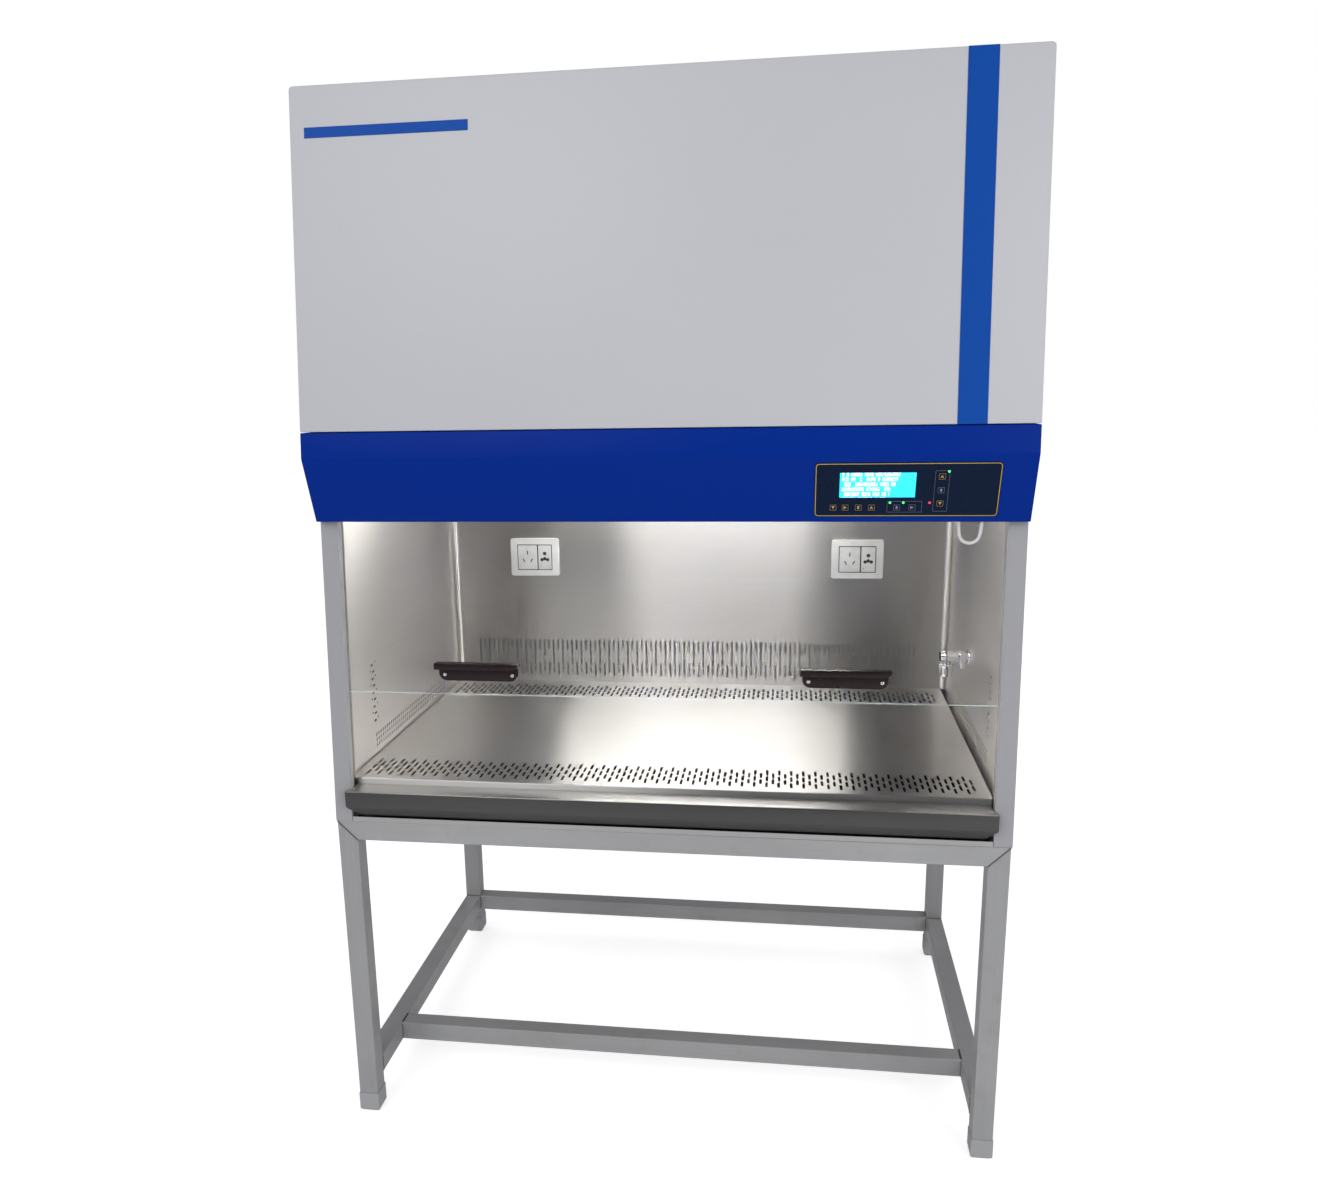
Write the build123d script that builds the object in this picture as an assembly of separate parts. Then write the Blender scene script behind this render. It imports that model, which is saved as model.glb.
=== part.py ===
from build123d import *
import os
from math import atan2, cos, degrees, radians, sin, tan

# Class II biosafety cabinet on its own square-tube stand.
# Millimetres, +X to the right, +Y away from the user, +Z up.
# Every function builds in a frame whose Y = 0 is the front plane of the stand.
# save() then moves the piece so that the origin is the middle of the footprint, on the floor.

os.makedirs("parts", exist_ok=True)

# Overall sizes
CABINET_WIDTH = 1300.0
STAND_WIDTH = 1296.0
DEPTH = 828.0
STAND_TOP = 659.0
ROOF_TOP = 2020.0

# Sheets
SHEET = 1.5
LINER = 1.2

# Stand
TUBE = 40.0
TUBE_WALL = 2.0
TUBE_ROUND = 2.0
LOWER_RAIL_TOP = 111.0
FRONT_LOWER_RAIL_SETBACK = 160.0
CAP_HEIGHT = 44.0
CAP_FLOOR = 8.0
CAP_WALL = 1.0
CAP_BEVEL = 7.0

# Leaning front: posts, sash and guides lie along one plane that leans back
POST_LEAN = 3.8
POST_FACE = 34.0
POST_RETURN = 17.0

# Front cover and hood outline
COVER_FRONT_BOTTOM = -17.5
COVER_FRONT_TOP = 52.5
COVER_BOTTOM = 1422.0
COVER_ROUND = 7.0
HOOD_BEND = 1373.5
HOOD_BOTTOM = 1253.5
HOOD_BOTTOM_FRONT = 20.0
REVEAL = 1.5
COVER_GAP = 0.3

# Applied stripes on the cover
STRIPE_THICKNESS = 0.8
STRIPE_LEFT = 513.5
STRIPE_WIDTH = 49.0
BAR_LEFT = -623.0
BAR_WIDTH = 299.0
BAR_BOTTOM = 1931.0
BAR_HEIGHT = 18.0

# Chamber
CHAMBER_HALF = 628.0
CHAMBER_BACK = 790.0
CHAMBER_TOP = 1388.0
COVE_RADIUS = 14.0
TRAY_TOP = 740.0
TRAY_LEFT = -626.0
TRAY_RIGHT = 618.0
TRAY_FRONT = 32.0
PAN_HEIGHT = 41.0
PAN_FRONT_HEIGHT = 10.0
SEAT_GAP = 0.3

# Armrest
ARM_TOP = 727.5
ARM_FRONT = -17.0
ARM_FACE_BOTTOM = 694.5
ARM_BOTTOM = 673.0
ARM_HALF = 621.0
ARM_SIDE_GAP = 2.0

# Slots
SLOT_WIDTH = 5.5
GRILLE_PITCH = 11.8
GRILLE_LEFT = -602.0
GRILLE_RIGHT = 590.0
GRILLE_SLOT = 27.0
GRILLE_STEP = 34.0
GRILLE_FRONT = 53.0
REAR_GRILLE_FRONT = 655.0
WALL_PITCH = 12.3
WALL_SLOT_WIDTH = 5.0
WALL_LEFT = -570.0
WALL_RIGHT = 558.0
UPPER_SLOT_TOP = 852.0
UPPER_SLOT_LONG = 44.0
UPPER_SLOT_SHORT = 28.0
LOWER_SLOT_TOP = 803.0
LOWER_SLOT_LONG = 45.0
SIDE_COLUMN_FRONT = 180.0
SIDE_COLUMN_BOTTOM = 812.0
SIDE_COLUMN_ROWS = 9
SIDE_COLUMN_STEP = 15.0
SIDE_BAND_BOTTOM = 752.0
SIDE_BAND_COUNT = 20
SIDE_BAND_PITCH = 24.0

# Holes of the ceiling panel: pitch and size across and back, and the first one behind the filter frame
DIFFUSER_PITCH = (130.0, 110.0)
DIFFUSER_HOLE = (90.0, 60.0)
DIFFUSER_FIRST = 80.0

# Sash
GLASS_THICKNESS = 6.0
GLASS_PLAY = 1.0
GLASS_BOTTOM = 916.0
GLASS_HEIGHT = 560.0
GUIDE_LIP = 2.0
GUIDE_BACK_LIP = 3.0
GUIDE_GROOVE_DEPTH = 13.0
GUIDE_TOP = 1750.0
SEAL_WIDTH = 1.0

# Sash handles
HANDLE_CENTRES = [-353.0, 343.0]
HANDLE_WIDTH = 165.0
HANDLE_FOOT = 28.0
HANDLE_HEIGHT = 37.0
HANDLE_PLATE = 4.0
HANDLE_REACH = 24.0
HANDLE_BRIM = 12.0
HANDLE_ROUND = 16.0
BRIM_NOSE = 5.0
BRIM_BEVEL = 4.0
HANDLE_SCREW_OFFSET = 67.0
HANDLE_SCREW_HEIGHT = 12.0
SCREW_RADIUS = 3.6
SCREW_HEAD = 1.5

# Counterbalance
CABLE_X = 596.0
CABLE_RADIUS = 1.0
CORD_SIDES = 8
PULLEY_CENTRE_Z = 1985.0
PULLEY_RADIUS = 20.0
PULLEY_RIM = 3.0
PULLEY_WIDTH = 8.0
AXLE_RADIUS = 3.0
RUNNING_FIT = 0.05
BRACKET_PLATE = 3.0
BRACKET_HALF = 11.0
BRACKET_FOOT = 22.0
BRACKET_GAP = 2.0
COLLAR_WIDTH = 2.0
WEIGHT_WIDTH = 56.0
WEIGHT_DEPTH = 86.0
WEIGHT_LENGTH = 142.0
WEIGHT_TOP = 1772.0
WEIGHT_BEVEL = 4.0
CLIP_HALF = 20.0
CLIP_DEPTH = 15.0
CLIP_LUG = 12.0
CLIP_WALL = 3.0

# Control panel on the slanted face of the hood: x, then the distance down from the bend
OVERLAY_LEFT = 280.0
OVERLAY_RIGHT = 592.5
OVERLAY_UPPER = 15.0
OVERLAY_LOWER = 116.5
OVERLAY_THICKNESS = 1.2
OVERLAY_ROUND = 6.0
OVERLAY_MARGIN = 8.0
DISPLAY_LEFT = 322.5
DISPLAY_RIGHT = 451.0
DISPLAY_UPPER = 33.0
DISPLAY_LOWER = 79.5
DISPLAY_THICKNESS = 0.8
KEY_SIZE = 12.0
KEY_DEPTH = 3.6
KEY_PROUD = 1.0
KEY_GAP = 0.25
KEY_ROW = 98.5
KEY_ROW_X = [312.6, 333.5, 356.0, 378.5, 421.5, 447.5]
KEY_COLUMN_X = 494.0
KEY_COLUMN = [40.5, 66.0, 91.0]
CONTROLLER_DEPTH = 32.0
CONTROLLER_WALL = 6.0
LAMP_SPOTS = [(409.6, 89.8), (432.3, 89.8), (476.7, 90.0), (504.8, 31.6)]
LAMP_SPOT_RADIUS = 2.0
LAMP_SPOT_HEIGHT = 0.8
WINDOW_ROUND = 1.0

# Filters, plenum and blower
FILTER_HALF = 560.0
SUPPLY_FRONT = 110.0
SUPPLY_DEPTH = 640.0
SUPPLY_THICKNESS = 70.0
FILTER_FRAME = 20.0
PLENUM_FRONT = 190.0
PLENUM_BACK = 780.0
PARTITION_Z = 1530.0
PLENUM_TOP = 1925.0
EXHAUST_HALF = 270.0
EXHAUST_FRONT = 260.0
EXHAUST_DEPTH = 440.0
ROOF_FLANGE = 30.0
EXHAUST_SLOT_COUNT = 15
BLOWER_Y = 450.0
BLOWER_Z = 1700.0
WHEEL_RADIUS = 110.0
WHEEL_WIDTH = 150.0
WHEEL_RING = 15.0
BLADE_COUNT = 18
BLADE_CHORD = 14.0
BLADE_TILT = 35.0
HUB_RADIUS = 18.0
HUB_LENGTH = 36.0
SHAFT_RADIUS = 7.0
SCROLL_RADIUS = 148.0
SCROLL_CLEARANCE = 12.0
OUTLET_DEPTH = 110.0
MOTOR_RADIUS = 62.0
MOTOR_LENGTH = 130.0
MOTOR_GAP = 30.0
MOTOR_BORE = 30.0
PEDESTAL_INSET = 15.0
PEDESTAL_HALF = 43.0

# Lamps
LAMP_LENGTH = 590.0
LAMP_RADIUS = 13.0
LAMP_Y = 130.0
LAMP_Z = 1350.0
UV_LENGTH = 800.0
UV_RADIUS = 8.0
UV_STANDOFF = 34.0
UV_Z = 1305.0
FITTING_HALF = 20.0
HOLDER_LENGTH = 14.0
HOLDER_WALL = 3.0
BATTEN_GAP = 7.0

# Sockets on the back wall
SOCKET_CENTRES = [(-413.0, 1070.5), (403.0, 1068.5)]
SOCKET_WIDTH = 127.0
SOCKET_HEIGHT = 97.0
SOCKET_THICKNESS = 8.0
SOCKET_ROUND = 7.0
MODULE_HEIGHT = 62.0
WIDE_MODULE = 50.0
NARROW_MODULE = 34.0
MODULE_GAP = 3.0
MODULE_PROUD = 1.5
PIN_DEPTH = 5.0
FLAT_PIN = (2.5, 10.0)
FLAT_PIN_PLACES = [(0.0, 12.0, 0.0), (-10.0, -8.0, 30.0), (10.0, -8.0, -30.0)]
ROUND_PIN_RADIUS = 2.6
ROUND_PIN_PLACES = [(0.0, 8.0), (-7.0, -5.0), (7.0, -5.0)]

# Gas tap on the right wall
TAP_Y = 438.0
TAP_Z = 910.0
TAP_FLANGE_RADIUS = 17.0
TAP_FLANGE_THICKNESS = 6.0
TAP_BARREL_RADIUS = 8.5
TAP_REACH = 64.0
TAP_BALL_RADIUS = 15.0
TAP_INDEX_RADIUS = 11.0
TAP_INDEX_LENGTH = 2.0
TAP_NOZZLE_OFFSET = 16.0
TAP_NOZZLE_LENGTH = 26.0
TAP_NOZZLE_RADIUS = 6.0
TAP_SPINDLE_RADIUS = 4.0
KNOB_TOP_RADIUS = 16.0
KNOB_BOTTOM_RADIUS = 13.5
KNOB_HEIGHT = 28.0
KNOB_FLOOR = 3.0
KNOB_FLUTES = 8
KNOB_FLUTE_RADIUS = 2.4
KNOB_FLUTE_OUT = 0.6

# Cover hinge along the roof's front edge
HINGE_X = [-450.0, 450.0]
KNUCKLE_RADIUS = 3.0
PIN_RADIUS = 1.5
KNUCKLE_LENGTH = 30.0
LEAF_LENGTH = 26.0
LEAF_THICKNESS = 1.5
KNUCKLE_GAP = 0.4

# Mains cable gland on the back
GLAND_X = -520.0
GLAND_Z = 1890.0
GLAND_RADIUS = 13.0
GLAND_CAP_RADIUS = 8.0
GLAND_LENGTH = 14.0
GLAND_BORE = 4.0

# White tube that hangs in a loop below the hood
LOOP_DIAMETER = 6.0
LOOP_POINTS = [
    (530.5, 30.0, HOOD_BOTTOM),
    (530.5, 30.0, 1237.0),
    (535.0, 31.0, 1220.0),
    (549.5, 31.0, 1213.5),
    (564.0, 31.0, 1219.0),
    (569.5, 30.0, 1236.0),
    (569.5, 30.0, HOOD_BOTTOM),
]

# Values that follow from the sizes above
HALF = CABINET_WIDTH / 2
INNER = HALF - SHEET
STAND_HALF = STAND_WIDTH / 2
BACK = DEPTH - SHEET
ROOF_UNDER = ROOF_TOP - SHEET
COVER_SLOPE = (COVER_FRONT_TOP - COVER_FRONT_BOTTOM) / (ROOF_TOP - COVER_BOTTOM)
HOOD_TOP = COVER_BOTTOM - REVEAL
HOOD_BEND_FRONT = COVER_FRONT_BOTTOM - (COVER_BOTTOM - HOOD_BEND) * COVER_SLOPE
HOOD_SLANT = degrees(atan2(HOOD_BOTTOM_FRONT - HOOD_BEND_FRONT, HOOD_BEND - HOOD_BOTTOM))
RETURN_INNER = HALF - POST_FACE
GLASS_FRONT = POST_RETURN + GUIDE_LIP + GLASS_PLAY
GLASS_REAR = GLASS_FRONT + GLASS_THICKNESS
GUIDE_INNER = RETURN_INNER + 1.0
GUIDE_OUTER = INNER - 1.5
GUIDE_REAR = GLASS_REAR + GLASS_PLAY + GUIDE_BACK_LIP
GLASS_HALF = GUIDE_INNER + GUIDE_GROOVE_DEPTH - GLASS_PLAY
CABLE_OFFSET = GLASS_FRONT + GLASS_THICKNESS / 2
PLATE_UNDER = TRAY_TOP - SHEET
PAN_FLOOR = STAND_TOP + SHEET
PARTITION_TOP = PARTITION_Z + SHEET
FILTER_BOTTOM = CHAMBER_TOP + LINER
FILTER_TOP = FILTER_BOTTOM + SUPPLY_THICKNESS
HINGE_Z = ROOF_TOP + KNUCKLE_RADIUS + KNUCKLE_GAP
ORIGIN_Y = (HOOD_BEND_FRONT + DEPTH + GLAND_LENGTH) / 2
FAR = 3000.0


def lean_y(z, offset=0.0):
    """Y of the plane that lies offset behind the posts' front face, at height z."""
    return (z - STAND_TOP) * tan(radians(POST_LEAN)) + offset / cos(radians(POST_LEAN))


def lean_height(z, offset=0.0):
    """Distance along the leaning plane at which a point offset behind the post faces is at height z."""
    return (z - STAND_TOP + offset * sin(radians(POST_LEAN))) / cos(radians(POST_LEAN))


LEANING = Location((0, 0, STAND_TOP), (-POST_LEAN, 0, 0))
SLANT_TURN = Location((0, HOOD_BEND_FRONT, HOOD_BEND), (90 + HOOD_SLANT, 0, 0))
HINGE_Y = lean_y(ROOF_TOP)


def block(x0, x1, y0, y1, z0, z1):
    return Pos((x0 + x1) / 2, (y0 + y1) / 2, (z0 + z1) / 2) * Box(x1 - x0, y1 - y0, z1 - z0)


def side_prism(points, x0, x1):
    """Outline in Y and Z, carried from x0 to x1."""
    return extrude(Plane.YZ.offset(x0) * make_face(Polyline(*points, close=True)), amount=x1 - x0)


def plan_prism(points, z0, z1):
    return extrude(Plane.XY.offset(z0) * make_face(Polyline(*points, close=True)), amount=z1 - z0)


def front_prism(points, y0, y1):
    """Outline in X and Z, carried from y0 to y1."""
    return extrude(Plane.XZ.offset(-y0) * make_face(Polyline(*points, close=True)), amount=y0 - y1)


def between_heights(shape, z0, z1):
    return shape & block(-FAR, FAR, -FAR, FAR, z0, z1)


def slanted(shape):
    """Moves a piece drawn as (x, distance down, height off the face) onto the hood's slanted face."""
    return SLANT_TURN * mirror(shape, about=Plane.XZ)


def pair(shape):
    """The piece and its mirror image at the other side of the cabinet."""
    return Compound(children=[*solids_of(shape), *solids_of(mirror(shape, about=Plane.YZ))])


def solids_of(shape):
    return list(shape.solids())


def group(pieces):
    return Compound(children=[solid for piece in pieces for solid in solids_of(piece)])


def save(shape, name):
    moved = [Pos(0, -ORIGIN_Y, 0) * solid for solid in shape.solids()]
    export_step(moved[0] if len(moved) == 1 else Compound(children=moved), f"parts/{name}.step")


# Stand

def tube(length):
    """Square tube with rounded outer corners, standing on the XY plane."""
    inside = TUBE - 2 * TUBE_WALL
    return extrude(RectangleRounded(TUBE, TUBE, TUBE_ROUND) - Rectangle(inside, inside), amount=length)


def mitre_wedge(y0):
    """Everything above the 45 degree joint at the stand's upper left corner."""
    points = [(-STAND_HALF - TUBE, STAND_TOP + TUBE), (STAND_HALF, STAND_TOP + TUBE),
              (STAND_HALF, STAND_TOP - STAND_WIDTH)]
    return front_prism(points, y0 - TUBE, y0 + 2 * TUBE)


def stand_legs():
    legs = []
    for y0 in (0.0, DEPTH - TUBE):
        upright = Pos(-STAND_HALF + TUBE / 2, y0 + TUBE / 2, CAP_FLOOR) * tube(STAND_TOP - CAP_FLOOR)
        legs.append(upright - mitre_wedge(y0))
    return pair(group(legs))


def top_rails():
    rails = []
    for y0 in (0.0, DEPTH - TUBE):
        bar = Location((-STAND_HALF, y0 + TUBE / 2, STAND_TOP - TUBE / 2), (0, 90, 0)) * tube(STAND_HALF)
        half_bar = bar & mitre_wedge(y0)
        rails.append(half_bar + mirror(half_bar, about=Plane.YZ))
    side = Location((-STAND_HALF + TUBE / 2, TUBE, STAND_TOP - TUBE / 2), (-90, 0, 0)) * tube(DEPTH - 2 * TUBE)
    return group([*rails, side, mirror(side, about=Plane.YZ)])


def lower_rails():
    height = LOWER_RAIL_TOP - TUBE / 2
    side = Location((-STAND_HALF + TUBE / 2, TUBE, height), (-90, 0, 0)) * tube(DEPTH - 2 * TUBE)
    cross = [Location((-STAND_HALF + TUBE, y, height), (0, 90, 0)) * tube(STAND_WIDTH - 2 * TUBE)
             for y in (FRONT_LOWER_RAIL_SETBACK + TUBE / 2, DEPTH - TUBE / 2)]
    return group([side, mirror(side, about=Plane.YZ), *cross])


def foot_caps():
    caps = []
    outer = TUBE + 2 * CAP_WALL
    for y in (TUBE / 2, DEPTH - TUBE / 2):
        body = Pos(-STAND_HALF + TUBE / 2, y, CAP_HEIGHT / 2) * Box(outer, outer, CAP_HEIGHT)
        body = chamfer(body.faces().sort_by(Axis.Z)[0].edges(), CAP_BEVEL - 1)
        socket = Pos(-STAND_HALF + TUBE / 2, y, CAP_FLOOR + CAP_HEIGHT / 2) * Box(TUBE, TUBE, CAP_HEIGHT)
        caps.append(body - socket)
    return pair(group(caps))


# Cabinet shell

def base_pan():
    step = POST_RETURN + 7.0
    def outline(inset):
        side, mouth = INNER - inset, RETURN_INNER - 1.0 - inset
        return [(-side, step + inset), (-mouth, step + inset), (-mouth, inset), (mouth, inset),
                (mouth, step + inset), (side, step + inset), (side, BACK - inset), (-side, BACK - inset)]
    pan = plan_prism(outline(0), STAND_TOP, STAND_TOP + PAN_HEIGHT)
    pan -= plan_prism(outline(SHEET), PAN_FLOOR, STAND_TOP + PAN_HEIGHT)
    low_front = block(-HALF, HALF, -1, TRAY_FRONT, STAND_TOP + PAN_FRONT_HEIGHT, STAND_TOP + PAN_HEIGHT + 1)
    return pan - low_front


def side_panel():
    """Left panel: the outer skin and, folded from it, the leaning front post."""
    skin = side_prism([(0, STAND_TOP), (lean_y(ROOF_UNDER), ROOF_UNDER), (BACK, ROOF_UNDER), (BACK, STAND_TOP)],
                      -HALF, -INNER)
    tall = lean_height(ROOF_TOP) + TUBE
    face = block(-HALF, -RETURN_INNER, 0, SHEET, -TUBE, tall)
    inward = block(-RETURN_INNER - SHEET, -RETURN_INNER, 0, POST_RETURN, -TUBE, tall)
    post = between_heights(LEANING * (face + inward), STAND_TOP, ROOF_UNDER)
    return skin + post


def back_panel():
    return block(-HALF, HALF, BACK, DEPTH, STAND_TOP, ROOF_UNDER)


def exhaust_opening(margin):
    return (-EXHAUST_HALF + margin, EXHAUST_HALF - margin,
            EXHAUST_FRONT + margin, EXHAUST_FRONT + EXHAUST_DEPTH - margin)


def roof_panel():
    roof = side_prism([(lean_y(ROOF_UNDER), ROOF_UNDER), (lean_y(ROOF_TOP), ROOF_TOP),
                       (DEPTH, ROOF_TOP), (DEPTH, ROOF_UNDER)], -HALF, HALF)
    return roof - block(*exhaust_opening(ROOF_FLANGE), ROOF_UNDER - 1, ROOF_TOP + 1)


def exhaust_grille():
    plate = block(*exhaust_opening(ROOF_FLANGE / 2), ROOF_TOP, ROOF_TOP + LINER)
    x0, x1, y0, y1 = exhaust_opening(ROOF_FLANGE)
    pitch = (x1 - x0) / EXHAUST_SLOT_COUNT
    middle = (y0 + y1) / 2
    slots = [Pos(x0 + (column + 0.5) * pitch, middle + side * (y1 - y0) / 4, ROOF_TOP)
             * Box(pitch / 2, (y1 - y0) / 2 - ROOF_FLANGE, 4 * LINER)
             for column in range(EXHAUST_SLOT_COUNT) for side in (-1, 1)]
    return plate - slots


def filter_element(x0, x1, y0, y1, z0, z1):
    """Square frame with the pleated pack held inside it."""
    frame = block(x0, x1, y0, y1, z0, z1)
    frame -= block(x0 + FILTER_FRAME, x1 - FILTER_FRAME, y0 + FILTER_FRAME, y1 - FILTER_FRAME, z0 - 1, z1 + 1)
    pack = block(x0 + FILTER_FRAME, x1 - FILTER_FRAME, y0 + FILTER_FRAME, y1 - FILTER_FRAME,
                 z0 + FILTER_FRAME / 4, z1 - FILTER_FRAME / 4)
    return group([frame, pack])


def supply_filter():
    return filter_element(-FILTER_HALF, FILTER_HALF, SUPPLY_FRONT, SUPPLY_FRONT + SUPPLY_DEPTH,
                          FILTER_BOTTOM, FILTER_TOP)


def exhaust_filter():
    return filter_element(-EXHAUST_HALF, EXHAUST_HALF, EXHAUST_FRONT, EXHAUST_FRONT + EXHAUST_DEPTH,
                          PLENUM_TOP, ROOF_UNDER)


def plenum_box():
    """Sheet box on the supply filter, with a shelf for the blower and openings for both filters."""
    box = block(-FILTER_HALF, FILTER_HALF, PLENUM_FRONT, PLENUM_BACK, FILTER_TOP, PLENUM_TOP)
    for z0, z1 in ((FILTER_TOP - 1, PARTITION_Z), (PARTITION_TOP, PLENUM_TOP - SHEET)):
        box -= block(SHEET - FILTER_HALF, FILTER_HALF - SHEET, PLENUM_FRONT + SHEET, PLENUM_BACK - SHEET,
                     z0, z1)
    box -= block(*exhaust_opening(ROOF_FLANGE), PLENUM_TOP - 2 * SHEET, PLENUM_TOP + 1)
    half_outlet = WHEEL_WIDTH / 2 + SCROLL_CLEARANCE
    back_edge = BLOWER_Y + SCROLL_RADIUS
    return box - block(-half_outlet, half_outlet, back_edge - OUTLET_DEPTH, back_edge - SHEET,
                       PARTITION_Z - 1, PARTITION_TOP + 1)


def blower_housing():
    """Scroll with an inlet ring each side and its outlet through the plenum shelf."""
    half_width = WHEEL_WIDTH / 2 + SCROLL_CLEARANCE
    def scroll(inset):
        centre = (BLOWER_Y, BLOWER_Z)
        round_part = Pos(*centre) * Circle(SCROLL_RADIUS - inset)
        foot = Pos(BLOWER_Y + SCROLL_RADIUS - OUTLET_DEPTH / 2, (BLOWER_Z + PARTITION_TOP) / 2) * Rectangle(
            OUTLET_DEPTH - 2 * inset, BLOWER_Z - PARTITION_TOP)
        return round_part + foot
    outer = extrude(Plane.YZ.offset(-half_width) * scroll(0), amount=2 * half_width)
    inner = extrude(Plane.YZ.offset(-half_width + SHEET) * scroll(SHEET), amount=2 * (half_width - SHEET))
    inlet = Pos(0, BLOWER_Y, BLOWER_Z) * Rot(0, 90, 0) * Cylinder(WHEEL_RADIUS - WHEEL_RING, 4 * half_width)
    return outer - inner - inlet


def blower_wheel():
    """Double-inlet squirrel-cage wheel: end rings, blades, a middle disc, its hub and the shaft."""
    half = WHEEL_WIDTH / 2
    ring = extrude(Circle(WHEEL_RADIUS) - Circle(WHEEL_RADIUS - WHEEL_RING), amount=2 * SHEET)
    blades = [Rot(0, 0, 360 / BLADE_COUNT * index) * Pos(WHEEL_RADIUS - WHEEL_RING / 2, 0, 0)
              * Rot(0, 0, BLADE_TILT) * Box(BLADE_CHORD, SHEET, WHEEL_WIDTH) for index in range(BLADE_COUNT)]
    disc = Cylinder(WHEEL_RADIUS - SHEET, 2 * SHEET)
    hub = Cylinder(HUB_RADIUS, HUB_LENGTH)
    reach = half + SCROLL_CLEARANCE + MOTOR_GAP + MOTOR_BORE
    shaft = Pos(0, 0, -reach / 2) * Cylinder(SHAFT_RADIUS, reach)
    wheel = disc + hub + shaft + Pos(0, 0, -half) * ring + Pos(0, 0, half - 2 * SHEET) * ring
    for blade in blades:
        wheel += blade
    return Pos(0, BLOWER_Y, BLOWER_Z) * Rot(0, 90, 0) * wheel


def blower_motor():
    """Motor on a pedestal beside the scroll; the wheel's shaft runs in its bore."""
    face = -(WHEEL_WIDTH / 2 + SCROLL_CLEARANCE + MOTOR_GAP)
    middle = face - MOTOR_LENGTH / 2
    body = Pos(middle, BLOWER_Y, BLOWER_Z) * Rot(0, 90, 0) * Cylinder(MOTOR_RADIUS, MOTOR_LENGTH)
    bore = Pos(face - MOTOR_BORE / 2, BLOWER_Y, BLOWER_Z) * Rot(0, 90, 0) * Cylinder(
        SHAFT_RADIUS + RUNNING_FIT, MOTOR_BORE + 1)
    pedestal = block(face - MOTOR_LENGTH + PEDESTAL_INSET, face - PEDESTAL_INSET, BLOWER_Y - PEDESTAL_HALF,
                     BLOWER_Y + PEDESTAL_HALF, PARTITION_TOP, BLOWER_Z)
    return body + pedestal - bore


# Chamber liner

def slot_plan(centre, size, thickness):
    return Pos(*centre) * Box(*size, thickness)


def grille_slots():
    """Front grille: columns of three and two slots in turn. Rear grille: one long slot at each third column."""
    cuts = []
    count = int((GRILLE_RIGHT - GRILLE_LEFT) / GRILLE_PITCH) + 1
    for column in range(count):
        x = GRILLE_LEFT + column * GRILLE_PITCH
        rows, shift = (3, 0.0) if column % 2 == 0 else (2, GRILLE_STEP / 2)
        for row in range(rows):
            y = GRILLE_FRONT + shift + row * GRILLE_STEP + GRILLE_SLOT / 2
            cuts.append(slot_plan((x, y, TRAY_TOP), (SLOT_WIDTH, GRILLE_SLOT), 4 * SHEET))
        if column % 3 == 0:
            y = REAR_GRILLE_FRONT + GRILLE_STEP * 1.5
            cuts.append(slot_plan((x, y, TRAY_TOP), (SLOT_WIDTH, 2.5 * GRILLE_STEP), 4 * SHEET))
    return cuts


def work_tray():
    """Inverted tray that stands on its folded edges in the base pan."""
    body = block(TRAY_LEFT, TRAY_RIGHT, TRAY_FRONT, CHAMBER_BACK + LINER, PAN_FLOOR, TRAY_TOP)
    body -= block(TRAY_LEFT + SHEET, TRAY_RIGHT - SHEET, TRAY_FRONT + SHEET, CHAMBER_BACK + LINER + 1,
                  PAN_FLOOR - 1, PLATE_UNDER)
    return body - grille_slots()


def armrest_body(inset, back):
    side = [(back, ARM_TOP - inset), (ARM_FRONT + inset, ARM_TOP - inset), (ARM_FRONT + inset, ARM_FACE_BOTTOM),
            (inset, ARM_BOTTOM + inset), (back, ARM_BOTTOM + inset)]
    bevel = ARM_FACE_BOTTOM - ARM_BOTTOM
    wide, narrow = ARM_HALF - inset, RETURN_INNER - ARM_SIDE_GAP - inset
    plan = [(-wide, ARM_FRONT - 1), (wide, ARM_FRONT - 1), (wide, -inset), (narrow, -inset), (narrow, back + 1),
            (-narrow, back + 1), (-narrow, -inset), (-wide, -inset)]
    front = [(-wide, ARM_TOP + 1), (wide, ARM_TOP + 1), (wide, ARM_FACE_BOTTOM), (wide - bevel, ARM_BOTTOM - 1),
             (bevel - wide, ARM_BOTTOM - 1), (-wide, ARM_FACE_BOTTOM)]
    shape = side_prism(side, -ARM_HALF, ARM_HALF)
    shape &= plan_prism(plan, ARM_BOTTOM - 1, ARM_TOP + 1)
    return shape & front_prism(front, ARM_FRONT - 2, back + 2)


def armrest():
    """Pressed sheet armrest, open at the back where it meets the tray's front edge."""
    return armrest_body(0, TRAY_FRONT) - armrest_body(SHEET, TRAY_FRONT + 1)


def chamber_back_wall():
    flat = CHAMBER_HALF - COVE_RADIUS
    wall = block(-flat, flat, CHAMBER_BACK, CHAMBER_BACK + LINER, TRAY_TOP, CHAMBER_TOP)
    count = int((WALL_RIGHT - WALL_LEFT) / WALL_PITCH) + 1
    cuts = []
    for column in range(count):
        x = WALL_LEFT + column * WALL_PITCH
        length = UPPER_SLOT_LONG if column % 2 == 0 else UPPER_SLOT_SHORT
        cuts.append(Pos(x, CHAMBER_BACK, UPPER_SLOT_TOP - length / 2) * Box(WALL_SLOT_WIDTH, 4 * LINER, length))
        if column % 2 == 0:
            cuts.append(Pos(x, CHAMBER_BACK, LOWER_SLOT_TOP - LOWER_SLOT_LONG / 2)
                        * Box(WALL_SLOT_WIDTH, 4 * LINER, LOWER_SLOT_LONG))
    return wall - cuts


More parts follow.
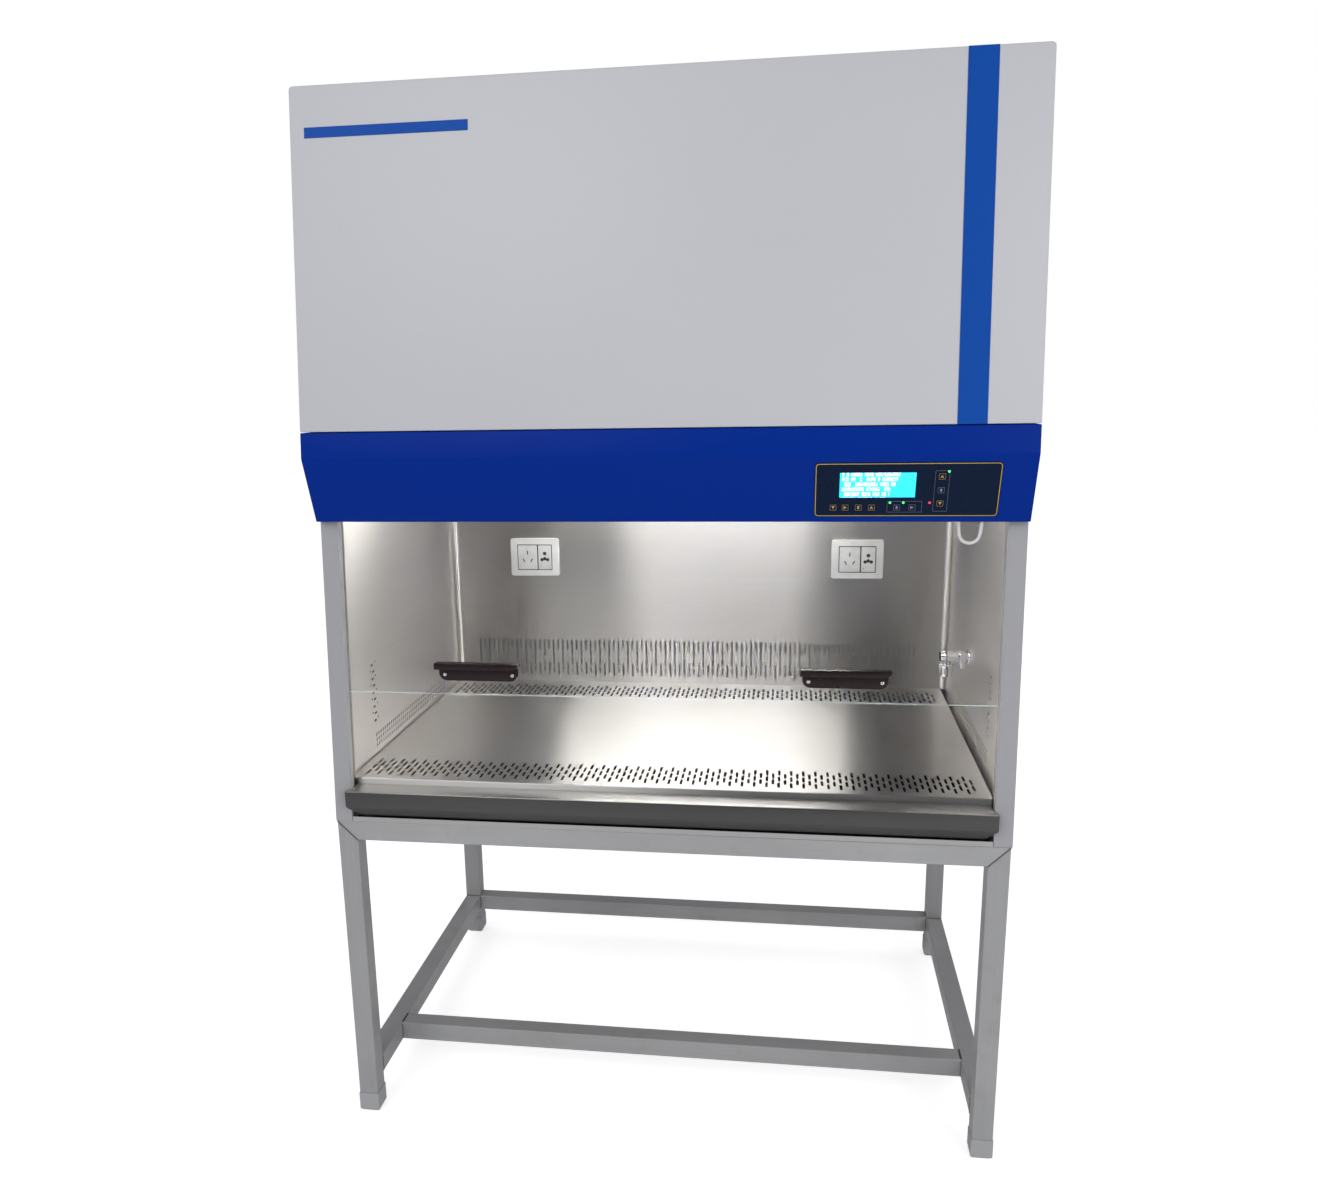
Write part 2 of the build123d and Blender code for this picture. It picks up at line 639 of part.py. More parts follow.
def chamber_side_walls():
    """Side liners with the quarter-round cove bent into their back edge."""
    corner = CHAMBER_BACK - COVE_RADIUS
    outline = [(lean_y(z, GUIDE_REAR), z) for z in (PAN_FLOOR, CHAMBER_TOP)]
    outline += [(corner, CHAMBER_TOP), (corner, PAN_FLOOR)]
    sheet = side_prism(outline, CHAMBER_HALF, CHAMBER_HALF + LINER)
    arc = Circle(COVE_RADIUS + LINER) - Circle(COVE_RADIUS)
    quadrant = arc & Pos(COVE_RADIUS, COVE_RADIUS) * Rectangle(2 * COVE_RADIUS, 2 * COVE_RADIUS)
    cove = Pos(CHAMBER_HALF - COVE_RADIUS, corner, TRAY_TOP) * extrude(quadrant, amount=CHAMBER_TOP - TRAY_TOP)
    cuts = []
    for row in range(SIDE_COLUMN_ROWS):
        for line in (0, 1):
            cuts.append(Pos(CHAMBER_HALF, SIDE_COLUMN_FRONT + line * 2 * GRILLE_PITCH,
                            SIDE_COLUMN_BOTTOM + row * SIDE_COLUMN_STEP)
                        * Box(4 * LINER, GRILLE_PITCH, SLOT_WIDTH))
    for place in range(SIDE_BAND_COUNT):
        cuts.append(Pos(CHAMBER_HALF, SIDE_COLUMN_FRONT + place * SIDE_BAND_PITCH,
                        SIDE_BAND_BOTTOM + GRILLE_SLOT / 2) * Box(4 * LINER, SLOT_WIDTH, GRILLE_SLOT))
    return pair(sheet + cove - cuts)


def diffuser_panel():
    """Perforated ceiling that lies on the liner walls under the supply filter."""
    edge = CHAMBER_HALF + LINER
    front = lean_y(FILTER_BOTTOM, GUIDE_REAR)
    panel = block(-edge, edge, front, CHAMBER_BACK + LINER, CHAMBER_TOP, FILTER_BOTTOM)
    first = SUPPLY_FRONT + FILTER_FRAME + DIFFUSER_FIRST
    across, back = DIFFUSER_PITCH
    cuts = [slot_plan((x * across, first + y * back, CHAMBER_TOP), DIFFUSER_HOLE, 4 * LINER)
            for x in range(-3, 4) for y in range(5)]
    return panel - cuts


# Sash

def glass_base():
    return lean_height(GLASS_BOTTOM, GLASS_FRONT)


def sash_glass():
    pane = block(-GLASS_HALF, GLASS_HALF, GLASS_FRONT, GLASS_REAR, glass_base(), glass_base() + GLASS_HEIGHT)
    return LEANING * pane


def sash_guides():
    """Grooved runners for the pane's edges, behind the return of each post."""
    front = POST_RETURN
    body = block(-GUIDE_OUTER, -GUIDE_INNER, front, GUIDE_REAR, -TUBE, lean_height(GUIDE_TOP))
    groove = block(-GUIDE_INNER - GUIDE_GROOVE_DEPTH, -GUIDE_INNER + 1, front + GUIDE_LIP,
                   GUIDE_REAR - GUIDE_BACK_LIP, -2 * TUBE, lean_height(ROOF_TOP))
    return pair(between_heights(LEANING * (body - groove), TRAY_TOP + SEAT_GAP, GUIDE_TOP))


def sash_seals():
    """Brown strips that show between the return of each post and the pane."""
    strip = block(-GUIDE_INNER, -GUIDE_INNER + SEAL_WIDTH, POST_RETURN, POST_RETURN + GUIDE_LIP,
                  -TUBE, lean_height(GUIDE_TOP))
    return pair(between_heights(LEANING * strip, TRAY_TOP + SEAT_GAP, HOOD_TOP))


def handle_frame(centre):
    return LEANING * Pos(centre, GLASS_FRONT, glass_base() + HANDLE_FOOT)


def sash_handles():
    """Moulded pulls: a plate on the pane, and a brim with the finger room below it."""
    handles = []
    lip = HANDLE_HEIGHT - HANDLE_BRIM
    profile = Polyline((0, 0), (-HANDLE_PLATE, 0), (-HANDLE_PLATE, lip - HANDLE_BRIM / 2))
    nose = (BRIM_NOSE - HANDLE_REACH, lip + 1)
    profile += RadiusArc((-HANDLE_PLATE, lip - HANDLE_BRIM / 2), nose, HANDLE_REACH)
    profile += Polyline(nose, (-HANDLE_REACH, lip),
                        (-HANDLE_REACH, HANDLE_HEIGHT - BRIM_BEVEL), (-HANDLE_REACH + BRIM_BEVEL, HANDLE_HEIGHT),
                        (0, HANDLE_HEIGHT), (0, 0))
    body = extrude(Plane.YZ.offset(-HANDLE_WIDTH / 2) * make_face(profile), amount=HANDLE_WIDTH)
    front = RectangleRounded(HANDLE_WIDTH, 2 * HANDLE_HEIGHT, HANDLE_ROUND)
    body &= Location((0, HANDLE_REACH, HANDLE_HEIGHT), (90, 0, 0)) * extrude(front, amount=3 * HANDLE_REACH)
    for centre in HANDLE_CENTRES:
        handles.append(handle_frame(centre) * body)
    return group(handles)


def handle_screws():
    screws = []
    for centre in HANDLE_CENTRES:
        for side in (-1, 1):
            head = Location((side * HANDLE_SCREW_OFFSET, -HANDLE_PLATE - SCREW_HEAD / 2, HANDLE_SCREW_HEIGHT),
                            (90, 0, 0)) * Cylinder(SCREW_RADIUS, SCREW_HEAD)
            screws.append(handle_frame(centre) * head)
    return group(screws)


def sash_clips():
    """Clamps on the pane's top edge, each with the lug that its cable ends in."""
    top = glass_base() + GLASS_HEIGHT
    clip = block(-CABLE_X - CLIP_HALF, -CABLE_X + CLIP_HALF, GLASS_FRONT - CLIP_WALL, GLASS_REAR + CLIP_WALL,
                 top - CLIP_DEPTH, top + CLIP_LUG)
    clip -= block(-CABLE_X - CLIP_HALF - 1, -CABLE_X + CLIP_HALF + 1, GLASS_FRONT, GLASS_REAR,
                  top - CLIP_DEPTH - 1, top)
    return pair(LEANING * clip)


def pulley_centre():
    """Y and Z of the pulley, whose front tangent is the line of the sash cable."""
    offset = CABLE_OFFSET + PULLEY_RADIUS
    return lean_y(PULLEY_CENTRE_Z, offset), PULLEY_CENTRE_Z


def sash_cables():
    """Each cable rises along the sash plane, turns over its pulley and drops to its weight."""
    y, z = pulley_centre()
    lean = radians(POST_LEAN)
    start = LEANING * Pos(-CABLE_X, CABLE_OFFSET, glass_base() + GLASS_HEIGHT + CLIP_LUG)
    foot = start.position
    meet = Vector(-CABLE_X, y - PULLEY_RADIUS * cos(lean), z + PULLEY_RADIUS * sin(lean))
    crown = Vector(-CABLE_X, y, z + PULLEY_RADIUS)
    leave = Vector(-CABLE_X, y + PULLEY_RADIUS, z)
    end = Vector(-CABLE_X, y + PULLEY_RADIUS, WEIGHT_TOP)
    path = Wire([Edge.make_line(foot, meet), Edge.make_three_point_arc(meet, crown, leave),
                 Edge.make_line(leave, end)])
    section = Plane(origin=foot, z_dir=meet - foot) * RegularPolygon(CABLE_RADIUS, CORD_SIDES)
    return pair(sweep(section, path=path))


def pulley():
    """Grooved wheel with a running bore, on the left side."""
    y, z = pulley_centre()
    groove = PULLEY_RADIUS - CABLE_RADIUS - SEAT_GAP
    rim = PULLEY_RADIUS + PULLEY_RIM
    half, bore = PULLEY_WIDTH / 2, AXLE_RADIUS + RUNNING_FIT
    flat = CABLE_RADIUS + SEAT_GAP
    profile = Polyline((bore, -half), (rim, -half), (groove, -flat), (groove, flat), (rim, half), (bore, half),
                       close=True)
    wheel = revolve(Plane.XZ * make_face(profile), Axis.Z)
    return Pos(-CABLE_X, y, z) * Rot(0, 90, 0) * wheel


def pulley_brackets():
    """Angle brackets under the roof, each with the pin that a pulley turns on."""
    y, z = pulley_centre()
    plate = -CABLE_X - PULLEY_WIDTH / 2 - BRACKET_GAP
    front, back = y - BRACKET_HALF, y + BRACKET_HALF
    arm = block(plate - BRACKET_PLATE, plate, front, back, z - BRACKET_HALF, ROOF_UNDER)
    foot = block(plate - BRACKET_FOOT, plate, front, back, ROOF_UNDER - BRACKET_PLATE, ROOF_UNDER)
    pin_end = -CABLE_X + PULLEY_WIDTH / 2 + SEAT_GAP
    pin = Pos((plate + pin_end) / 2, y, z) * Rot(0, 90, 0) * Cylinder(AXLE_RADIUS, pin_end - plate)
    collar = Pos(pin_end + COLLAR_WIDTH / 2, y, z) * Rot(0, 90, 0) * Cylinder(2 * AXLE_RADIUS, COLLAR_WIDTH)
    spacer_end = -CABLE_X - PULLEY_WIDTH / 2 - SEAT_GAP
    spacer = Pos((plate + spacer_end) / 2, y, z) * Rot(0, 90, 0) * Cylinder(2 * AXLE_RADIUS, spacer_end - plate)
    return pair(arm + foot + pin + collar + spacer)


def sash_weight():
    y = pulley_centre()[0] + PULLEY_RADIUS
    body = Pos(-CABLE_X, y, WEIGHT_TOP - WEIGHT_LENGTH / 2) * Box(WEIGHT_WIDTH, WEIGHT_DEPTH, WEIGHT_LENGTH)
    return chamfer(body.faces().sort_by(Axis.Z)[-1].edges(), WEIGHT_BEVEL)


# Cover, hood and controls

def hood_outline(inset, back_offset):
    """Y and Z outline of the hood, drawn inset from its outer faces and open towards the posts."""
    slope = atan2(COVER_SLOPE, 1)
    down = inset * tan((radians(HOOD_SLANT) + slope) / 2)
    front_top = COVER_FRONT_BOTTOM - REVEAL * COVER_SLOPE
    return [(front_top + inset / cos(slope) - inset * tan(slope), HOOD_TOP - inset),
            (HOOD_BEND_FRONT + inset, HOOD_BEND + down * sin(slope)),
            (HOOD_BOTTOM_FRONT + inset / cos(radians(HOOD_SLANT)) - inset * tan(radians(HOOD_SLANT)),
             HOOD_BOTTOM + inset),
            (lean_y(HOOD_BOTTOM) + back_offset, HOOD_BOTTOM + inset),
            (lean_y(HOOD_TOP) + back_offset, HOOD_TOP - inset)]


def control_window(x0, x1, s0, s1, h0, h1, corner):
    """Rounded plate on the slanted face, from distance s0 to s1 down it and height h0 to h1 off it."""
    plate = Pos((x0 + x1) / 2, (s0 + s1) / 2, h0) * extrude(RectangleRounded(x1 - x0, s1 - s0, corner),
                                                         amount=h1 - h0)
    return slanted(plate)


def overlay_span(margin):
    return OVERLAY_LEFT + margin, OVERLAY_RIGHT - margin, OVERLAY_UPPER + margin, OVERLAY_LOWER - margin


def hood():
    """Folded sheet hood with closed ends; its slanted face has the window for the controls."""
    shell = side_prism(hood_outline(0, 0), -HALF, HALF)
    shell -= side_prism(hood_outline(SHEET, 1), -INNER, INNER)
    return shell - control_window(*overlay_span(OVERLAY_MARGIN), -3 * SHEET, SHEET, WINDOW_ROUND)


def key_places():
    return [(x, KEY_ROW) for x in KEY_ROW_X] + [(KEY_COLUMN_X, s) for s in KEY_COLUMN]


def key_prism(place, size, h0, h1):
    return slanted(Pos(place[0], place[1], (h0 + h1) / 2) * Box(size, size, h1 - h0))


def control_overlay():
    sheet = control_window(*overlay_span(0), 0, OVERLAY_THICKNESS, OVERLAY_ROUND)
    holes = [key_prism(place, KEY_SIZE + 2 * KEY_GAP, -1, OVERLAY_THICKNESS + 1) for place in key_places()]
    return sheet - holes


def control_key(place):
    top = OVERLAY_THICKNESS + KEY_PROUD
    return key_prism(place, KEY_SIZE, top - KEY_DEPTH, top)


def controller_box():
    """Control unit behind the hood's window, with a shallow recess for the keys' feet."""
    x0, x1, s0, s1 = overlay_span(OVERLAY_MARGIN - CONTROLLER_WALL)
    body = control_window(x0, x1, s0, s1, -SHEET - CONTROLLER_DEPTH, -SHEET, WINDOW_ROUND)
    recess_floor = OVERLAY_THICKNESS - KEY_DEPTH - SEAT_GAP
    return body - control_window(*overlay_span(OVERLAY_MARGIN), recess_floor, 0, WINDOW_ROUND)


def display_window():
    return control_window(DISPLAY_LEFT, DISPLAY_RIGHT, DISPLAY_UPPER, DISPLAY_LOWER,
                          OVERLAY_THICKNESS, OVERLAY_THICKNESS + DISPLAY_THICKNESS, WINDOW_ROUND)


def indicator_lights():
    middle = OVERLAY_THICKNESS + LAMP_SPOT_HEIGHT / 2
    lens = Cylinder(LAMP_SPOT_RADIUS, LAMP_SPOT_HEIGHT)
    return group([slanted(Pos(x, s, middle) * lens) for x, s in LAMP_SPOTS])


def cover_outline(inset, back_offset):
    slope = atan2(COVER_SLOPE, 1)
    shift = inset / cos(slope)
    return [(COVER_FRONT_TOP + shift - inset * tan(slope), ROOF_TOP - inset),
            (COVER_FRONT_BOTTOM + shift + inset * tan(slope), COVER_BOTTOM + inset),
            (lean_y(COVER_BOTTOM) + back_offset, COVER_BOTTOM + inset),
            (lean_y(ROOF_TOP) + back_offset, ROOF_TOP - inset)]


def service_cover():
    """Upper front cover: a folded pan, closed at its ends, with rounded upper corners."""
    outer = side_prism(cover_outline(0, -COVER_GAP), -HALF, HALF)
    inner = side_prism(cover_outline(SHEET, 1), -INNER, INNER)
    def rounded(shape, radius):
        top = shape.faces().sort_by(Axis.Z)[-1]
        ends = top.edges().filter_by(lambda edge: abs(edge.center().X) > CABINET_WIDTH / 4)
        return fillet(ends, radius)
    return rounded(outer, COVER_ROUND) - rounded(inner, COVER_ROUND - SHEET)


def cover_strip(x0, x1, z0, z1):
    """Thin strip that lies on the cover's sloping front."""
    def front(z):
        return COVER_FRONT_BOTTOM + (z - COVER_BOTTOM) * COVER_SLOPE
    return side_prism([(front(z0), z0), (front(z0) - STRIPE_THICKNESS, z0), (front(z1) - STRIPE_THICKNESS, z1),
                       (front(z1), z1)], x0, x1)


def accent_stripes():
    return group([cover_strip(STRIPE_LEFT, STRIPE_LEFT + STRIPE_WIDTH, COVER_BOTTOM, ROOF_TOP),
                  cover_strip(BAR_LEFT, BAR_LEFT + BAR_WIDTH, BAR_BOTTOM, BAR_BOTTOM + BAR_HEIGHT)])


def knuckle(x0, x1, bore):
    turned = Cylinder(KNUCKLE_RADIUS, x1 - x0)
    if bore:
        turned -= Cylinder(bore, 2 * (x1 - x0))
    return Pos((x0 + x1) / 2, HINGE_Y, HINGE_Z) * Rot(0, 90, 0) * turned


def hinge_leaf(x0, x1, side):
    """Flat leaf on the roof (side 1) or on the cover (side -1), joined to its knuckle."""
    near = HINGE_Y + side * PIN_RADIUS * 1.4
    far = HINGE_Y + side * LEAF_LENGTH
    return block(x0, x1, min(near, far), max(near, far), ROOF_TOP, ROOF_TOP + LEAF_THICKNESS)


def roof_hinges():
    """Fixed halves: a leaf on the roof, two knuckles and the pin."""
    halves = []
    for x in HINGE_X:
        middle, outer = KNUCKLE_LENGTH / 2 + KNUCKLE_GAP, KNUCKLE_LENGTH
        half = knuckle(x - outer, x - middle, None) + knuckle(x + middle, x + outer, None)
        half += Pos(x, HINGE_Y, HINGE_Z) * Rot(0, 90, 0) * Cylinder(PIN_RADIUS, 2 * outer)
        half += hinge_leaf(x - outer, x - middle, 1) + hinge_leaf(x + middle, x + outer, 1)
        back = HINGE_Y + LEAF_LENGTH
        half += block(x - outer, x + outer, back - LEAF_LENGTH / 2, back, ROOF_TOP, ROOF_TOP + LEAF_THICKNESS)
        halves.append(half)
    return group(halves)


def cover_hinges():
    """Moving halves: a leaf on the cover and the middle knuckle."""
    halves = []
    for x in HINGE_X:
        half_length = KNUCKLE_LENGTH / 2
        half = hinge_leaf(x - half_length, x + half_length, -1)
        half = half + knuckle(x - half_length, x + half_length, None)
        bore = Cylinder(PIN_RADIUS + RUNNING_FIT, 2 * KNUCKLE_LENGTH)
        half -= Pos(x, HINGE_Y, HINGE_Z) * Rot(0, 90, 0) * bore
        halves.append(half)
    return group(halves)


# Fittings

def lamp_fittings():
    """Battens for the work light under the ceiling and for the lamp on the back wall."""
    half = LAMP_LENGTH / 2
    light = block(-half - HOLDER_LENGTH, half + HOLDER_LENGTH, LAMP_Y - FITTING_HALF, LAMP_Y + FITTING_HALF,
                  LAMP_Z + LAMP_RADIUS + BATTEN_GAP, CHAMBER_TOP)
    for side in (-1, 1):
        inner, outer = sorted((side * half, side * (half + HOLDER_LENGTH)))
        light += block(inner, outer, LAMP_Y - LAMP_RADIUS, LAMP_Y + LAMP_RADIUS,
                       LAMP_Z - LAMP_RADIUS, LAMP_Z + LAMP_RADIUS + BATTEN_GAP)
    half = UV_LENGTH / 2
    uv_y = CHAMBER_BACK - UV_STANDOFF
    uv = block(-half - HOLDER_LENGTH, half + HOLDER_LENGTH, CHAMBER_BACK - UV_STANDOFF / 2, CHAMBER_BACK,
               UV_Z - FITTING_HALF, UV_Z + FITTING_HALF)
    for side in (-1, 1):
        inner, outer = sorted((side * half, side * (half + HOLDER_LENGTH)))
        reach = UV_RADIUS + HOLDER_WALL
        uv += block(inner, outer, uv_y - reach, CHAMBER_BACK - UV_STANDOFF / 2, UV_Z - reach, UV_Z + reach)
    return group([light, uv])


def lamp_tubes():
    light = Pos(0, LAMP_Y, LAMP_Z) * Rot(0, 90, 0) * Cylinder(LAMP_RADIUS, LAMP_LENGTH)
    uv = Pos(0, CHAMBER_BACK - UV_STANDOFF, UV_Z) * Rot(0, 90, 0) * Cylinder(UV_RADIUS, UV_LENGTH)
    return group([light, uv])


def on_back_wall(x, z):
    """Frame whose XY lies on the back wall, with +Z out towards the user."""
    return Location((x, CHAMBER_BACK, z), (90, 0, 0))


def module_places():
    """Centre and width of the wide and the narrow module in a socket plate."""
    total = WIDE_MODULE + MODULE_GAP + NARROW_MODULE
    return [(-total / 2 + WIDE_MODULE / 2, WIDE_MODULE), (total / 2 - NARROW_MODULE / 2, NARROW_MODULE)]


def socket_plates():
    plates = []
    for x, z in SOCKET_CENTRES:
        plate = extrude(RectangleRounded(SOCKET_WIDTH, SOCKET_HEIGHT, SOCKET_ROUND), amount=SOCKET_THICKNESS)
        for offset, width in module_places():
            plate -= Pos(offset, 0, SOCKET_THICKNESS) * Box(width, MODULE_HEIGHT, SOCKET_THICKNESS)
        plates.append(on_back_wall(x, z) * plate)
    return group(plates)


def socket_modules():
    """Outlet inserts: flat pin slots in the wide one, round pin holes in the narrow one."""
    modules = []
    depth = SOCKET_THICKNESS / 2 + MODULE_PROUD
    for x, z in SOCKET_CENTRES:
        (wide_x, wide), (narrow_x, narrow) = module_places()
        base = SOCKET_THICKNESS / 2
        first = Pos(wide_x, 0, base + depth / 2) * Box(wide, MODULE_HEIGHT, depth)
        face = base + depth
        for along, up, turn in FLAT_PIN_PLACES:
            first -= Location((wide_x + along, up, face), (0, 0, turn)) * Box(*FLAT_PIN, 2 * PIN_DEPTH)
        second = Pos(narrow_x, 0, base + depth / 2) * Box(narrow, MODULE_HEIGHT, depth)
        for along, up in ROUND_PIN_PLACES:
            second -= Pos(narrow_x + along, up, face) * Cylinder(ROUND_PIN_RADIUS, 2 * PIN_DEPTH)
        modules += [on_back_wall(x, z) * first, on_back_wall(x, z) * second]
    return group(modules)


def tap_body():
    """Wall flange, barrel, bevelled valve body with its index end, spindle and hose nozzle."""
    valve_start = TAP_REACH - 2 * TAP_BALL_RADIUS
    bevel = TAP_BALL_RADIUS - TAP_BARREL_RADIUS
    profile = Polyline((0, 0), (TAP_FLANGE_RADIUS, 0), (TAP_FLANGE_RADIUS, TAP_FLANGE_THICKNESS),
                       (TAP_BARREL_RADIUS, TAP_FLANGE_THICKNESS), (TAP_BARREL_RADIUS, valve_start),
                       (TAP_BALL_RADIUS, valve_start + bevel), (TAP_BALL_RADIUS, TAP_REACH - bevel),
                       (TAP_INDEX_RADIUS, TAP_REACH), (TAP_INDEX_RADIUS, TAP_REACH + TAP_INDEX_LENGTH),
                       (0, TAP_REACH + TAP_INDEX_LENGTH), close=True)
    turned = Rot(0, -90, 0) * revolve(Plane.XZ * make_face(profile), Axis.Z)
    nozzle = Pos(-TAP_NOZZLE_OFFSET, 0, -TAP_NOZZLE_LENGTH / 2) * Cylinder(TAP_NOZZLE_RADIUS, TAP_NOZZLE_LENGTH)
    spindle_length = TAP_BALL_RADIUS + KNOB_HEIGHT - KNOB_FLOOR
    spindle = Pos(-TAP_REACH + TAP_BALL_RADIUS, 0, -spindle_length / 2) * Cylinder(TAP_SPINDLE_RADIUS,
                                                                                   spindle_length)
    return Pos(CHAMBER_HALF, TAP_Y, TAP_Z) * (turned + nozzle + spindle)


def tap_knob():
    """Fluted tapered knob on the spindle below the tap's round body."""
    half = KNOB_HEIGHT / 2
    knob = Cone(KNOB_BOTTOM_RADIUS, KNOB_TOP_RADIUS, KNOB_HEIGHT)
    for index in range(KNOB_FLUTES):
        knob -= Rot(0, 0, 360 / KNOB_FLUTES * index) * Pos(KNOB_TOP_RADIUS + KNOB_FLUTE_OUT, 0, 0) * Cylinder(
            KNOB_FLUTE_RADIUS, 2 * KNOB_HEIGHT)
    socket_depth = KNOB_HEIGHT - KNOB_FLOOR
    knob -= Pos(0, 0, half) * Cylinder(TAP_SPINDLE_RADIUS + RUNNING_FIT, 2 * socket_depth)
    top = TAP_Z - TAP_BALL_RADIUS - SEAT_GAP
    return Pos(CHAMBER_HALF - TAP_REACH + TAP_BALL_RADIUS, TAP_Y, top - half) * knob


def power_gland():
    """Gland for the mains lead: a hexagonal body, a tapered cap nut and an open bore."""
    half = GLAND_LENGTH / 2
    body = extrude(RegularPolygon(GLAND_RADIUS, 6), amount=half)
    flats = GLAND_RADIUS * cos(radians(30))
    cap_nut = Pos(0, 0, half * 1.5) * Cone(flats, GLAND_CAP_RADIUS, half)
    return Location((GLAND_X, DEPTH, GLAND_Z), (-90, 0, 0)) * (body + cap_nut - Cylinder(GLAND_BORE,
                                                                                       4 * GLAND_LENGTH))


def loop_radii(points):
    """Radius for each corner of the hanging tube: 0.45 of its shorter run, over the tangent of half its turn."""
    radii = []
    for before, here, after in zip(points, points[1:], points[2:]):
        first, second = Vector(*here) - Vector(*before), Vector(*after) - Vector(*here)
        turn = radians(first.get_angle(second))
        radii.append(0.45 * min(first.length, second.length) / tan(turn / 2))
    return radii


def hanging_tube():
    radii = loop_radii(LOOP_POINTS)
    print("hanging tube radii", [round(radius, 1) for radius in radii])
    path = FilletPolyline(*LOOP_POINTS, radius=radii)
    start = Vector(*LOOP_POINTS[0])
    section = Plane(origin=start, z_dir=Vector(*LOOP_POINTS[1]) - start) * RegularPolygon(LOOP_DIAMETER / 2,
                                                                                       CORD_SIDES)
    loop = sweep(section, path=path)
    ratio = loop.volume / (section.area * path.length)
    print("hanging tube length", round(path.length, 1), "volume ratio", round(ratio, 4))
    return loop


def main():
    left_panel = side_panel()
    left_pulley, left_weight = pulley(), sash_weight()
    pieces = {
        "stand_legs": stand_legs(),
        "top_rails": top_rails(),
        "lower_rails": lower_rails(),
        "foot_caps": foot_caps(),
        "base_pan": base_pan(),
        "side_panel_left": left_panel,
        "side_panel_right": mirror(left_panel, about=Plane.YZ),
        "back_panel": back_panel(),
        "roof_panel": roof_panel(),
        "exhaust_grille": exhaust_grille(),
        "exhaust_filter": exhaust_filter(),
        "supply_filter": supply_filter(),
        "diffuser_panel": diffuser_panel(),
        "plenum_box": plenum_box(),
        "blower_housing": blower_housing(),
        "blower_motor": blower_motor(),
        "blower_wheel": blower_wheel(),
        "chamber_back_wall": chamber_back_wall(),
        "chamber_side_walls": chamber_side_walls(),
        "work_tray": work_tray(),
        "armrest": armrest(),
        "sash_glass": sash_glass(),
        "sash_handles": sash_handles(),
        "handle_screws": handle_screws(),
        "sash_clips": sash_clips(),
        "sash_guides": sash_guides(),
        "sash_seals": sash_seals(),
        "sash_cables": sash_cables(),
        "pulley_left": left_pulley,
        "pulley_right": mirror(left_pulley, about=Plane.YZ),
        "pulley_brackets": pulley_brackets(),
        "weight_left": left_weight,
        "weight_right": mirror(left_weight, about=Plane.YZ),
        "hood": hood(),
        "controller_box": controller_box(),
        "control_overlay": control_overlay(),
        "display_window": display_window(),
        "indicator_lights": indicator_lights(),
        "service_cover": service_cover(),
        "accent_stripes": accent_stripes(),
        "roof_hinges": roof_hinges(),
        "cover_hinges": cover_hinges(),
        "lamp_fittings": lamp_fittings(),
        "lamp_tubes": lamp_tubes(),
        "socket_plates": socket_plates(),
        "socket_modules": socket_modules(),
        "tap_body": tap_body(),
        "tap_knob": tap_knob(),
        "power_gland": power_gland(),
        "hanging_tube": hanging_tube(),
    }
    for number, place in enumerate(key_places(), start=1):
        pieces[f"key_{number}"] = control_key(place)
    for name, shape in pieces.items():
        save(shape, name)
    print(len(pieces), "nodes")


main()
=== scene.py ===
"""Looks of a floor-standing safety cabinet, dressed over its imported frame.

Everything is in metres, in the frame's own axes: +X right, +Y back, +Z up. Pieces are built with Y counted
from the stand's front, and Shape.finish moves them to their place.
"""

import logging
from dataclasses import dataclass
from enum import Enum
from math import atan2, cos, pi, radians, sin, tan
from typing import Iterable, Optional, Sequence

import bmesh
import bpy
from mathutils import Matrix, Vector


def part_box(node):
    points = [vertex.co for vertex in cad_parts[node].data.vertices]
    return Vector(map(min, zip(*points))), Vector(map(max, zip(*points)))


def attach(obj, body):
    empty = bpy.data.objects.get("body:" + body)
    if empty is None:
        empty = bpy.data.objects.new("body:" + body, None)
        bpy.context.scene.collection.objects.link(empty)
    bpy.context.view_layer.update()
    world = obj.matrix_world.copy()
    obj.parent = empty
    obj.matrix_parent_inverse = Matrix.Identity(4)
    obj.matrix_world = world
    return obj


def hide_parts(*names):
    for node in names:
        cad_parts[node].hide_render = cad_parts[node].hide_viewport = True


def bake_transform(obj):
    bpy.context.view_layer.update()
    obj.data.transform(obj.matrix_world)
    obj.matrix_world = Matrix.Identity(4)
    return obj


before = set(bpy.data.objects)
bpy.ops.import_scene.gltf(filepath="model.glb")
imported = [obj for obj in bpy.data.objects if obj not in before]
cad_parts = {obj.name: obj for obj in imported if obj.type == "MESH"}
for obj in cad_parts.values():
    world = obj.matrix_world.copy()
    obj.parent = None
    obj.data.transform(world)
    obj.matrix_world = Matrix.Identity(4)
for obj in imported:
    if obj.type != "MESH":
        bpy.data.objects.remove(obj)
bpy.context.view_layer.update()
log = logging.getLogger("cabinet")

Point = tuple[float, float, float]
Flat = tuple[float, float]

PHOTO_WIDTH = 1318.0
PHOTO_HEIGHT = 1193.0
ROOT = "cabinet"
FRONT_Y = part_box("stand_legs")[0].y
STAND_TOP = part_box("stand_legs")[1].z
LEAN = radians(3.8)


def lean_y(z: float, offset: float = 0.0) -> float:
    """Y of the plane that lies an offset behind the posts' front faces.

    Args:
        z: height above the floor.
        offset: distance behind the faces.
    Returns:
        Y, counted from the stand's front.
    """
    return (z - STAND_TOP) * tan(LEAN) + offset / cos(LEAN)


class Grain(Enum):
    """Direction that a sheet was brushed in."""

    X = (1.0, 0.0, 0.0)
    Y = (0.0, 1.0, 0.0)
    Z = (0.0, 0.0, 1.0)


